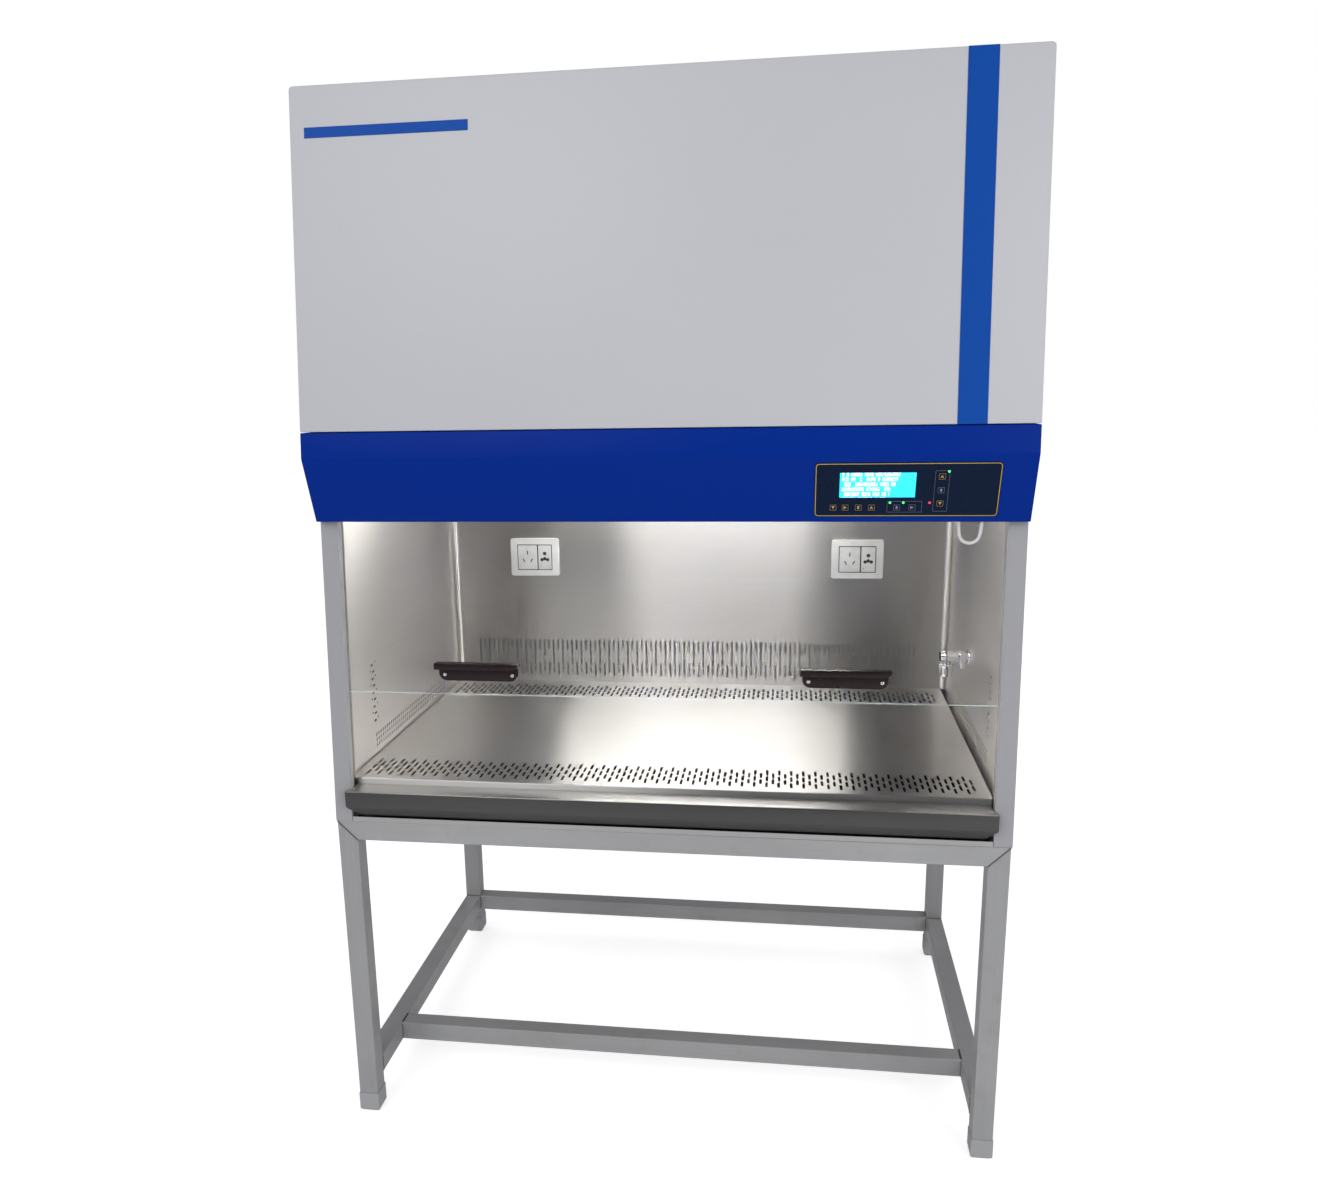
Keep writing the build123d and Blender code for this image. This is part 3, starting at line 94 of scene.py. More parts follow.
class Graph:
    """Node tree of one material, with short calls for what the finishes share."""

    def __init__(self, name: str) -> None:
        """Starts an empty material.

        Args:
            name: the material's name.
        """
        self.material = bpy.data.materials.new(name)
        self.material.use_nodes = True
        self.tree = self.material.node_tree
        self.tree.nodes.clear()
        self.coordinates = self.add("ShaderNodeTexCoord").outputs["Object"]

    def add(self, kind: str, inputs: Optional[dict] = None, **settings) -> bpy.types.Node:
        """Adds a node.

        Args:
            kind: the node's type name.
            inputs: values or sockets for its inputs, by name or index.
            settings: attributes of the node itself.
        Returns:
            The new node.
        """
        node = self.tree.nodes.new(kind)
        for key, value in settings.items():
            setattr(node, key, value)
        for key, value in (inputs or {}).items():
            self.feed(node.inputs[key], value)
        return node

    def feed(self, socket: bpy.types.NodeSocket, value) -> None:
        """Links a socket to an input, or sets the input's value.

        Args:
            socket: the input.
            value: another node's output, or a plain value.
        """
        if isinstance(value, bpy.types.NodeSocket):
            self.tree.links.new(value, socket)
        else:
            socket.default_value = value

    def math(self, operation: str, first, second=0.0) -> bpy.types.NodeSocket:
        """One arithmetic step.

        Args:
            operation: its name.
            first: a socket or number.
            second: a socket or number.
        Returns:
            The result's socket.
        """
        return self.add("ShaderNodeMath", {0: first, 1: second}, operation=operation).outputs[0]

    def vector(self, x, y, z=0.0) -> bpy.types.NodeSocket:
        """Joins three values.

        Args:
            x: a socket or number.
            y: a socket or number.
            z: a socket or number.
        Returns:
            The vector's socket.
        """
        return self.add("ShaderNodeCombineXYZ", {0: x, 1: y, 2: z}).outputs[0]

    def split(self, value) -> bpy.types.bpy_prop_collection:
        """Takes a vector apart.

        Args:
            value: the vector's socket.
        Returns:
            Its three outputs, by axis.
        """
        return self.add("ShaderNodeSeparateXYZ", {0: value}).outputs

    def facing(self) -> bpy.types.NodeSocket:
        """Direction that the flat face looks in.

        Returns:
            The vector's socket.
        """
        return self.add("ShaderNodeNewGeometry").outputs["True Normal"]

    def noise(self, scale: Point, detail: float = 3.0, roughness: float = 0.55,
              shift: Point = (0.0, 0.0, 0.0)) -> bpy.types.NodeSocket:
        """Fractal noise over the object's own coordinates.

        Args:
            scale: features per metre along each axis.
            detail: octaves.
            roughness: share kept from one octave to the next.
            shift: offset that makes one pattern differ from another.
        Returns:
            A socket from 0 to 1.
        """
        moved = self.add("ShaderNodeVectorMath", {0: self.coordinates, 1: shift}, operation="ADD").outputs[0]
        stretched = self.add("ShaderNodeVectorMath", {0: moved, 1: scale}, operation="MULTIPLY").outputs[0]
        return self.add("ShaderNodeTexNoise", {"Vector": stretched, "Scale": 1.0, "Detail": detail,
                                               "Roughness": roughness}).outputs["Fac"]

    def chance(self, cell) -> bpy.types.NodeSocket:
        """One steady chance for each whole-numbered cell.

        Args:
            cell: the cell's vector.
        Returns:
            A socket from 0 to 1.
        """
        return self.add("ShaderNodeTexWhiteNoise", {"Vector": cell}, noise_dimensions="3D").outputs["Value"]

    def spread(self, value, low: float, high: float, out_low: float = 0.0,
               out_high: float = 1.0) -> bpy.types.NodeSocket:
        """Maps one range of values onto another, with its ends held.

        Args:
            value: the socket to map.
            low: where the range starts.
            high: where it ends.
            out_low: what its start becomes.
            out_high: what its end becomes.
        Returns:
            The mapped socket.
        """
        return self.add("ShaderNodeMapRange", {"Value": value, "From Min": low, "From Max": high,
                                               "To Min": out_low, "To Max": out_high}).outputs["Result"]

    def mix(self, factor, first, second) -> bpy.types.NodeSocket:
        """Mixes two colours.

        Args:
            factor: share of the second one.
            first: a socket or colour.
            second: a socket or colour.
        Returns:
            The colour's socket.
        """
        node = self.add("ShaderNodeMix", data_type="RGBA")
        for index, value in ((0, factor), (6, first), (7, second)):
            self.feed(node.inputs[index], value)
        return node.outputs[2]

    def relief(self, height, distance: float, edge: float) -> bpy.types.NodeSocket:
        """Small relief over softened edges.

        Args:
            height: a socket from 0 to 1.
            distance: the relief's full height.
            edge: radius that sharp edges are softened to.
        Returns:
            The normal's socket.
        """
        rounded = self.add("ShaderNodeBevel", {"Radius": edge}, samples=4).outputs[0]
        return self.add("ShaderNodeBump", {"Height": height, "Distance": distance, "Strength": 1.0,
                                           "Normal": rounded}).outputs[0]

    def surface(self, inputs: dict) -> bpy.types.NodeSocket:
        """Adds the common surface shader.

        Args:
            inputs: its inputs by name.
        Returns:
            The shader's socket.
        """
        return self.add("ShaderNodeBsdfPrincipled", inputs).outputs[0]

    def close(self, shader) -> bpy.types.Material:
        """Ends the tree with a surface.

        Args:
            shader: the surface's socket.
        Returns:
            The finished material.
        """
        self.add("ShaderNodeOutputMaterial", {"Surface": shader})
        return self.material


def rgba(color: Point) -> tuple[float, float, float, float]:
    """Adds full alpha to a linear colour.

    Args:
        color: red, green and blue.
    Returns:
        The colour with alpha.
    """
    return (*color, 1.0)


def scaled(color: Point, factor: float) -> tuple[float, float, float, float]:
    """A lighter or darker version of a linear colour.

    Args:
        color: red, green and blue.
        factor: how much lighter, or darker below 1.
    Returns:
        The colour with alpha.
    """
    return rgba(tuple(min(channel * factor, 1.0) for channel in color))


@dataclass(frozen=True)
class Finish:
    """One surface finish. Subclasses draw it as nodes."""

    name: str

    def draw(self, graph: Graph) -> bpy.types.NodeSocket:
        """Draws the finish.

        Args:
            graph: the material's tree.
        Returns:
            The surface shader's socket.
        """
        raise NotImplementedError

    def material(self) -> bpy.types.Material:
        """The material, made once.

        Returns:
            The Blender material of this finish.
        """
        look = f"{self.name}_look"
        found = bpy.data.materials.get(look)
        if found is not None:
            return found
        graph = Graph(look)
        return graph.close(self.draw(graph))


@dataclass(frozen=True)
class Paint(Finish):
    """Sprayed or powder-coated sheet with a fine orange-peel texture."""

    color: Point = (0.5, 0.5, 0.5)
    roughness: float = 0.4
    peel: float = 0.00002
    peel_scale: float = 420.0
    cloud_scale: float = 2.2
    fleck_scale: float = 900.0
    mottle: float = 0.03
    coat: float = 0.0
    edge: float = 0.0012
    gloss: float = 0.5
    shade_inside_beyond: float = 0.0
    inside_shade: float = 0.04
    fleck_range: Flat = (0.62, 0.75)
    fleck_share: float = 0.12
    fleck_shade: float = 0.6
    cloud_range: Flat = (0.3, 0.7)
    rough_range: Flat = (0.9, 1.12)
    coat_roughness: float = 0.12

    def draw(self, graph: Graph) -> bpy.types.NodeSocket:
        """Draws clouded paint with sparse flecks, and painted shade on the inner faces of sheets beyond a set
        distance from the middle.

        Args:
            graph: the material's tree.
        Returns:
            The surface shader's socket.
        """
        cloud = graph.noise((self.cloud_scale,) * 3, detail=4.0)
        fleck = graph.noise((self.fleck_scale,) * 3, detail=1.0)
        shade = graph.mix(cloud, scaled(self.color, 1.0 - self.mottle), scaled(self.color, 1.0 + self.mottle))
        flecked = graph.spread(fleck, *self.fleck_range, 0.0, self.fleck_share)
        shade = graph.mix(flecked, shade, scaled(self.color, self.fleck_shade))
        # Painted shade: the inner faces of the outer side sheets, behind the slotted liners, are darkened so
        # that the slots look dark.
        if self.shade_inside_beyond:
            across = graph.split(graph.coordinates)["X"]
            facing_x = graph.split(graph.facing())["X"]
            inward = graph.math("LESS_THAN", graph.math("MULTIPLY", facing_x, across), -0.5)
            deep = graph.math("GREATER_THAN", graph.math("ABSOLUTE", across), self.shade_inside_beyond)
            painted_inside_shade = scaled(self.color, self.inside_shade)
            shade = graph.mix(graph.math("MULTIPLY", inward, deep), shade, painted_inside_shade)
        peel = graph.noise((self.peel_scale,) * 3, detail=2.0)
        rough = graph.spread(cloud, *self.cloud_range,
                             *(self.roughness * share for share in self.rough_range))
        return graph.surface({
            "Base Color": shade, "Roughness": rough, "Specular IOR Level": self.gloss,
            "Coat Weight": self.coat, "Coat Roughness": self.coat_roughness,
            "Normal": graph.relief(peel, self.peel, self.edge)})


@dataclass(frozen=True)
class Steel(Finish):
    """Brushed stainless sheet: streaks along the grain, smeared highlights, handling marks, and on some
    sheets painted light on the faces that look up.

    The chamber's sheets keep a roughness above 0.3, because smoother ones render with creases.
    """

    color: Point = (0.6, 0.59, 0.58)
    roughness: float = 0.3
    grain: Grain = Grain.X
    streak: float = 0.10
    blotch: float = 0.10
    anisotropy: float = 0.6
    relief: float = 0.0000012
    edge: float = 0.0006
    stain: float = 0.0
    stain_color: Point = (0.20, 0.15, 0.10)
    metal: float = 1.0
    top_painted_light: float = 1.0
    fine_scale: Flat = (300.0, 3.0)
    broad_scale: Flat = (160.0, 1.6)
    cloud_scale: float = 3.1
    spot_scale: float = 14.0
    askew: Point = (0.021, 0.013, 0.017)
    fine_share: float = 0.6
    blotch_range: Flat = (0.35, 0.7)
    blotch_shade: float = 0.55
    stain_range: Flat = (0.56, 0.74)
    cloud_range: Flat = (0.3, 0.75)
    rough_range: Flat = (0.94, 1.12)
    streak_range: Flat = (0.3, 0.7)
    streak_rough: float = 0.008

    def along_grain(self, scale: Flat) -> Point:
        """Noise scale that draws features out along the grain.

        Args:
            scale: features per metre across the grain and along it.
        Returns:
            The scale for each axis.
        """
        across, length = scale
        return tuple(length if axis else across for axis in self.grain.value)

    def draw(self, graph: Graph) -> bpy.types.NodeSocket:
        """Draws the sheet; its highlights are smeared across the grain.

        Args:
            graph: the material's tree.
        Returns:
            The surface shader's socket.
        """
        fine = graph.noise(self.along_grain(self.fine_scale), detail=1.0, roughness=0.5)
        broad = graph.noise(self.along_grain(self.broad_scale), detail=3.0)
        cloud = graph.noise((self.cloud_scale,) * 3, detail=5.0, shift=(3.0, 1.0, 7.0))
        streaks = graph.math("ADD", graph.math("MULTIPLY", fine, self.fine_share),
                             graph.math("MULTIPLY", broad, 1.0 - self.fine_share))
        darker, lighter = scaled(self.color, 1.0 - self.streak), scaled(self.color, 1.0 + self.streak)
        shade = graph.mix(streaks, darker, lighter)
        blotches = graph.spread(cloud, *self.blotch_range, 0.0, self.blotch)
        shade = graph.mix(blotches, shade, scaled(self.color, self.blotch_shade))
        if self.stain:
            spots = graph.noise((self.spot_scale,) * 3, detail=6.0, roughness=0.7, shift=(1.3, 4.1, 2.2))
            stained = graph.spread(spots, *self.stain_range, 0.0, self.stain)
            shade = graph.mix(stained, shade, rgba(self.stain_color))
        facing = graph.facing()
        # Painted light on faces that look up: painted shade on the pan's floor under the tray, and a painted
        # reflection on the armrest's top.
        if self.top_painted_light != 1.0:
            upward = graph.math("GREATER_THAN", graph.split(facing)["Z"], 0.5)
            shade = graph.mix(upward, shade, scaled(self.color, self.top_painted_light))
        rough = graph.spread(cloud, *self.cloud_range,
                             *(self.roughness * share for share in self.rough_range))
        rough = graph.math("ADD", rough, graph.spread(streaks, *self.streak_range, -self.streak_rough,
                                                      self.streak_rough))
        grain = graph.vector(*(value + nudge for value, nudge in zip(self.grain.value, self.askew)))
        tangent = graph.add("ShaderNodeVectorMath", {0: facing, 1: grain},
                            operation="CROSS_PRODUCT").outputs[0]
        inputs = {"Base Color": shade, "Metallic": self.metal, "Roughness": rough,
                  "Anisotropic": self.anisotropy, "Tangent": tangent}
        if self.edge:
            inputs["Normal"] = graph.relief(streaks, self.relief, self.edge)
        return graph.surface(inputs)


@dataclass(frozen=True)
class Moulded(Finish):
    """Moulded plastic, rubber or film."""

    color: Point = (0.5, 0.5, 0.5)
    roughness: float = 0.35
    texture: float = 0.00001
    coat: float = 0.0
    edge: float = 0.0008
    gloss: float = 0.5
    cloud_scale: float = 26.0
    pore_scale: float = 1600.0
    shade_range: Flat = (0.92, 1.08)
    cloud_range: Flat = (0.3, 0.7)
    rough_range: Flat = (0.85, 1.15)
    coat_roughness: float = 0.08

    def draw(self, graph: Graph) -> bpy.types.NodeSocket:
        """Draws slightly clouded plastic with fine pores.

        Args:
            graph: the material's tree.
        Returns:
            The surface shader's socket.
        """
        cloud = graph.noise((self.cloud_scale,) * 3, detail=4.0)
        shade = graph.mix(cloud, *(scaled(self.color, share) for share in self.shade_range))
        rough = graph.spread(cloud, *self.cloud_range,
                             *(self.roughness * share for share in self.rough_range))
        pores = graph.noise((self.pore_scale,) * 3, detail=2.0)
        return graph.surface({
            "Base Color": shade, "Roughness": rough, "Specular IOR Level": self.gloss,
            "Coat Weight": self.coat, "Coat Roughness": self.coat_roughness,
            "Normal": graph.relief(pores, self.texture, self.edge)})


@dataclass(frozen=True)
class Pane(Finish):
    """Clear pane with smears on its faces, and edges lit by a painted glow."""

    tint: Point = (0.985, 0.987, 0.985)
    mirror: float = 0.22
    index: float = 1.45
    edge_color: Point = (0.62, 0.72, 0.74)
    rim_painted_glow: float = 0.35
    smear_scale: Point = (5.0, 5.0, 2.0)
    smear_range: Flat = (0.3, 0.8)
    rough_range: Flat = (0.01, 0.06)
    rim_roughness: float = 0.12
    face_limit: float = 0.9

    def draw(self, graph: Graph) -> bpy.types.NodeSocket:
        """Draws clear faces, and rims with a painted glow that stands in for the light they catch.

        Args:
            graph: the material's tree.
        Returns:
            The surface shader's socket.
        """
        smear = graph.noise(self.smear_scale, detail=5.0)
        clear = graph.add("ShaderNodeBsdfTransparent", {"Color": rgba(self.tint)}).outputs[0]
        rough = graph.spread(smear, *self.smear_range, *self.rough_range)
        gloss = graph.add("ShaderNodeBsdfGlossy", {"Roughness": rough}).outputs[0]
        fresnel = graph.add("ShaderNodeFresnel", {"IOR": self.index}).outputs[0]
        share = graph.math("MULTIPLY", fresnel, self.mirror)
        face = graph.add("ShaderNodeMixShader", {0: share, 1: clear, 2: gloss}).outputs[0]
        # Painted highlight: the rims emit light, standing in for the light that polished glass edges catch.
        rim = graph.surface({"Base Color": rgba(self.edge_color), "Roughness": self.rim_roughness,
                             "Emission Color": rgba(self.edge_color), "Emission Strength": self.rim_painted_glow})
        facing_y = graph.math("ABSOLUTE", graph.split(graph.facing())["Y"])
        is_face = graph.math("GREATER_THAN", facing_y, self.face_limit)
        return graph.add("ShaderNodeMixShader", {0: is_face, 1: rim, 2: face}).outputs[0]


@dataclass(frozen=True)
class Screen(Finish):
    """Lit liquid-crystal display: pale blocks in rows on cyan."""

    field_color: Point = (0.02, 0.62, 0.90)
    block_color: Point = (0.75, 0.95, 1.0)
    left: float = 0.3225
    width: float = 0.1285
    upper_z: float = 1.3425
    height: float = 0.0437
    blocks: Flat = (34.0, 5.0)
    pixels: Flat = (130.0, 34.0)
    row_height: float = 0.78
    margin: float = 0.03
    reach: float = 0.82
    shorter: float = 0.04
    block_gaps: float = 0.22
    pixel_share: float = 0.72
    roughness: float = 0.15
    glow: float = 0.95

    def draw(self, graph: Graph) -> bpy.types.NodeSocket:
        """Draws rows of lit blocks, each a little shorter than the one above.

        Args:
            graph: the material's tree.
        Returns:
            The surface shader's socket.
        """
        place = graph.split(graph.coordinates)
        across = graph.math("DIVIDE", graph.math("SUBTRACT", place["X"], self.left), self.width)
        down = graph.math("DIVIDE", graph.math("SUBTRACT", self.upper_z, place["Z"]), self.height)

        def whole(counts: Flat) -> tuple:
            """Column and row of a grid, as whole numbers.

            Args:
                counts: columns and rows.
            Returns:
                Both sockets.
            """
            return tuple(graph.math("FLOOR", graph.math("MULTIPLY", value, count))
                         for value, count in zip((across, down), counts))

        block, pixel = whole(self.blocks), whole(self.pixels)
        row = graph.math("MULTIPLY", down, self.blocks[1])
        rows = graph.math("LESS_THAN", graph.math("FRACT", row), self.row_height)
        inside = graph.math("MULTIPLY", graph.math("GREATER_THAN", across, self.margin),
                            graph.math("LESS_THAN", across, 1.0 - self.margin))
        slant = graph.math("MULTIPLY", block[1], self.shorter)
        reach = graph.math("LESS_THAN", graph.math("ADD", across, slant), self.reach)
        filled = graph.math("GREATER_THAN", graph.chance(graph.vector(*block)), self.block_gaps)
        shown = graph.math("LESS_THAN", graph.chance(graph.vector(*pixel)), self.pixel_share)
        lit = graph.math("MULTIPLY", filled, shown)
        for mask in (rows, inside, reach):
            lit = graph.math("MULTIPLY", lit, mask)
        shade = graph.mix(lit, rgba(self.field_color), rgba(self.block_color))
        return graph.surface({"Base Color": shade, "Roughness": self.roughness, "Emission Color": shade,
                              "Emission Strength": self.glow})


@dataclass(frozen=True)
class Glow(Finish):
    """Lit surface, such as a lamp tube or an indicator."""

    color: Point = (1.0, 1.0, 1.0)
    strength: float = 1.0
    roughness: float = 0.3
    fall_scale: float = 8.0
    fall_range: Flat = (0.2, 0.8)
    strength_range: Flat = (0.95, 1.05)

    def draw(self, graph: Graph) -> bpy.types.NodeSocket:
        """Draws an almost even glow.

        Args:
            graph: the material's tree.
        Returns:
            The surface shader's socket.
        """
        fall = graph.noise((self.fall_scale,) * 3, detail=2.0)
        strength = graph.spread(fall, *self.fall_range,
                                *(self.strength * share for share in self.strength_range))
        return graph.surface({"Base Color": rgba(self.color), "Roughness": self.roughness,
                              "Emission Color": rgba(self.color), "Emission Strength": strength})


PANEL_PAINT = Paint("panel_paint", color=(0.58, 0.585, 0.615), roughness=0.42, peel=0.00003)
# Painted shade on the inner faces of the post paint beyond 0.645 m from the middle, behind the chamber's side
# liners.
POST_PAINT = Paint("post_paint", color=(0.39, 0.39, 0.405), roughness=0.42, peel=0.00003, shade_inside_beyond=0.645)
HOOD_PAINT = Paint("hood_paint", color=(0.0, 0.026, 0.28), roughness=0.36, peel=0.00001, gloss=0.06)
STRIPE_FILM = Paint("stripe_film", color=(0.004, 0.075, 0.40), roughness=0.4, gloss=0.12)
STAND_STEEL = Steel("stand_steel", color=(0.47, 0.47, 0.47), roughness=0.38, grain=Grain.X, anisotropy=0.3,
                    blotch=0.30, stain=0.20, edge=0.002, metal=0.35)
LEG_STEEL = Steel("leg_steel", color=(0.43, 0.43, 0.43), roughness=0.38, grain=Grain.Z, anisotropy=0.3,
                  blotch=0.30, stain=0.20, edge=0.002, metal=0.35)
WELD_STEEL = Steel("weld_steel", color=(0.30, 0.29, 0.28), roughness=0.45, anisotropy=0.0, blotch=0.6,
                   stain=0.5)
# Its faces that look up are darkened to 3 per cent: painted shade on the pan's floor under the tray.
PAN_STEEL = Steel("pan_steel", color=(0.50, 0.49, 0.48), roughness=0.40, grain=Grain.X, anisotropy=0.3,
                  metal=0.5, top_painted_light=0.03)
# Painted shade: the plenum is near black so that the back wall's slots look dark.
PLENUM_PAINTED_SHADE = Paint("plenum_painted_shade", color=(0.022, 0.022, 0.024), roughness=0.6, gloss=0.2)
WALL_STEEL = Steel("wall_steel", color=(0.60, 0.58, 0.555), roughness=0.33, grain=Grain.X, anisotropy=0.98,
                   blotch=0.10, streak=0.05, edge=0.0)
# Painted light: the side walls' steel is made lighter than the same sheet on the back wall, so that they look
# brightly lit.
LIT_SIDE_STEEL = Steel("lit_side_steel", color=(0.76, 0.74, 0.715), roughness=0.33, grain=Grain.Y, anisotropy=0.95,
                   blotch=0.10, streak=0.05, edge=0.0)
TRAY_STEEL = Steel("tray_steel", color=(0.66, 0.65, 0.635), roughness=0.32, grain=Grain.X, anisotropy=0.98,
                   blotch=0.06, streak=0.05, edge=0.0)
# Painted shade: a dark copy of the chamber's steel for the armrest's face and bevel; its faces that look up
# are four times lighter, a painted reflection.
ARMREST_STEEL = Steel("armrest_steel", color=(0.12, 0.118, 0.116), roughness=0.32, grain=Grain.X,
                      anisotropy=0.6, top_painted_light=4.0)
ZINC = Steel("zinc_sheet", color=(0.48, 0.49, 0.50), roughness=0.42, grain=Grain.X, anisotropy=0.0,
             blotch=0.4)
CABLE_STEEL = Steel("cable_steel", color=(0.45, 0.45, 0.46), roughness=0.35, grain=Grain.Z, anisotropy=0.0)
CHROME = Steel("screw_chrome", color=(0.75, 0.75, 0.75), roughness=0.15, anisotropy=0.0, blotch=0.0)
TAP_CHROME = Steel("tap_chrome", color=(0.78, 0.77, 0.79), roughness=0.09, anisotropy=0.0, blotch=0.0,
                   streak=0.02)
CAP_PLASTIC = Moulded("cap_plastic", color=(0.42, 0.42, 0.43), roughness=0.45)
HANDLE_PLASTIC = Moulded("handle_plastic", color=(0.016, 0.006, 0.007), roughness=0.25, gloss=0.35)
GUIDE_PLASTIC = Moulded("guide_plastic", color=(0.55, 0.53, 0.50), roughness=0.4)
SEAL_RUBBER = Moulded("seal_rubber", color=(0.085, 0.045, 0.030), roughness=0.55)
PULLEY_PLASTIC = Moulded("pulley_plastic", color=(0.45, 0.45, 0.45), roughness=0.4)
OVERLAY_FILM = Moulded("overlay_film", color=(0.002, 0.010, 0.036), roughness=0.30, gloss=0.12)
KEY_FILM = Moulded("key_film", color=(0.003, 0.013, 0.042), roughness=0.35, gloss=0.12)
CONTROLLER_PLASTIC = Moulded("controller_plastic", color=(0.03, 0.03, 0.033), roughness=0.5)
FILTER_PAPER = Moulded("filter_pack", color=(0.78, 0.77, 0.73), roughness=0.9)
SOCKET_PLASTIC = Moulded("socket_plastic", color=(0.80, 0.80, 0.78), roughness=0.25, coat=0.3)
MODULE_PLASTIC = Moulded("module_plastic", color=(0.74, 0.74, 0.72), roughness=0.28, coat=0.2)
GLAND_PLASTIC = Moulded("gland_plastic", color=(0.03, 0.03, 0.03), roughness=0.45)
TUBE_SILICONE = Moulded("tube_silicone", color=(0.70, 0.70, 0.69), roughness=0.35)
TAP_INDEX = Moulded("tap_index", color=(0.03, 0.09, 0.12), roughness=0.2, coat=0.4)
GOLD_INK = Moulded("gold_ink", color=(0.62, 0.42, 0.06), roughness=0.4)
GREY_INK = Moulded("grey_ink", color=(0.25, 0.27, 0.34), roughness=0.4)
RED_INK = Moulded("red_ink", color=(0.65, 0.03, 0.04), roughness=0.4)
TAP_ENAMEL = Paint("tap_enamel", color=(0.55, 0.54, 0.51), roughness=0.25, coat=0.4)
WEIGHT_IRON = Paint("weight_iron", color=(0.06, 0.06, 0.065), roughness=0.5, peel=0.00008)
MOTOR_METAL = Paint("motor_metal", color=(0.16, 0.17, 0.18), roughness=0.5, peel=0.0002)
LAMP_PAINT = Paint("lamp_paint", color=(0.78, 0.78, 0.76), roughness=0.3)
LAMP_TUBE = Glow("lamp_tube", color=(1.0, 0.99, 0.96), strength=40.0)
DISPLAY_GLASS = Glow("display_glass", color=(0.15, 0.55, 0.95), strength=0.9)
GREEN_LIGHT = Glow("green_light", color=(0.05, 0.9, 0.15), strength=2.0)
RED_LIGHT = Glow("red_light", color=(0.95, 0.03, 0.06), strength=1.6)
SASH_GLASS = Pane("sash_glass")
SCREEN = Screen("display_screen")

NODE_FINISHES: dict[str, Finish] = {
    "stand_legs": LEG_STEEL, "top_rails": STAND_STEEL, "lower_rails": STAND_STEEL, "foot_caps": CAP_PLASTIC,
    "base_pan": PAN_STEEL, "side_panel_left": POST_PAINT, "side_panel_right": POST_PAINT,
    "back_panel": PANEL_PAINT, "roof_panel": PANEL_PAINT, "exhaust_grille": PANEL_PAINT,
    "exhaust_filter": FILTER_PAPER, "supply_filter": FILTER_PAPER, "diffuser_panel": WALL_STEEL,
    "plenum_box": PLENUM_PAINTED_SHADE, "blower_housing": ZINC, "blower_motor": MOTOR_METAL, "blower_wheel": ZINC,
    "chamber_back_wall": WALL_STEEL, "chamber_side_walls": LIT_SIDE_STEEL, "work_tray": TRAY_STEEL,
    "armrest": ARMREST_STEEL, "sash_glass": SASH_GLASS, "sash_handles": HANDLE_PLASTIC,
    "handle_screws": CHROME, "sash_clips": ZINC, "sash_guides": GUIDE_PLASTIC, "sash_seals": SEAL_RUBBER,
    "sash_cables": CABLE_STEEL, "pulley_left": PULLEY_PLASTIC, "pulley_right": PULLEY_PLASTIC,
    "pulley_brackets": ZINC, "weight_left": WEIGHT_IRON, "weight_right": WEIGHT_IRON, "hood": HOOD_PAINT,
    "controller_box": CONTROLLER_PLASTIC, "control_overlay": OVERLAY_FILM, "display_window": DISPLAY_GLASS,
    "indicator_lights": GREEN_LIGHT, "service_cover": PANEL_PAINT, "accent_stripes": STRIPE_FILM,
    "roof_hinges": ZINC, "cover_hinges": ZINC, "lamp_fittings": LAMP_PAINT, "lamp_tubes": LAMP_TUBE,
    "socket_plates": SOCKET_PLASTIC, "socket_modules": MODULE_PLASTIC, "tap_body": TAP_ENAMEL,
    "tap_knob": TAP_ENAMEL, "power_gland": GLAND_PLASTIC, "hanging_tube": TUBE_SILICONE,
    **{f"key_{number}": KEY_FILM for number in range(1, 10)},
}


def dress_nodes() -> None:
    """Gives every CAD node its finish."""
    for name, finish in NODE_FINISHES.items():
        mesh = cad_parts[name].data
        for slot in range(len(mesh.materials)):
            mesh.materials[slot] = finish.material()
        log.info("node %s: %s", name, finish.name)


def mm(*values: float) -> tuple:
    """Millimetres as metres.

    Args:
        values: lengths in millimetres.
    Returns:
        The same lengths in metres.
    """
    return tuple(value / 1000.0 for value in values)


def profile(*pairs: Flat) -> list[Flat]:
    """Line to be turned on a lathe.

    Args:
        pairs: radius and height of each corner, in millimetres.
    Returns:
        The corners in metres.
    """
    return [mm(*pair) for pair in pairs]


def rounded_rectangle(low: Flat, high: Flat, radius: float, steps: int = 5) -> list[Flat]:
    """Outline of a rectangle with round corners.

    Args:
        low: its lower left corner.
        high: its upper right corner.
        radius: radius of the corners.
        steps: segments in each corner.
    Returns:
        The outline's points, anticlockwise.
    """
    (x0, y0), (x1, y1) = low, high
    corners = ((x1 - radius, y1 - radius), (x0 + radius, y1 - radius), (x0 + radius, y0 + radius),
               (x1 - radius, y0 + radius))
    points = []
    for quarter, (x, y) in enumerate(corners):
        angles = (pi / 2 * (quarter + step / steps) for step in range(steps + 1))
        points += [(x + radius * cos(angle), y + radius * sin(angle)) for angle in angles]
    return points


@dataclass(frozen=True)
class Slot:
    """Round-ended slot in a plate, in the plate's own X and Y."""

    centre: Flat
    width: float
    length: float
    turn: float = 0.0

    def place(self) -> Matrix:
        """Where the slot lies.

        Returns:
            The matrix that moves a slot along Y to its place.
        """
        return Matrix.Translation((*self.centre, 0.0)) @ Matrix.Rotation(self.turn, 4, "Z")


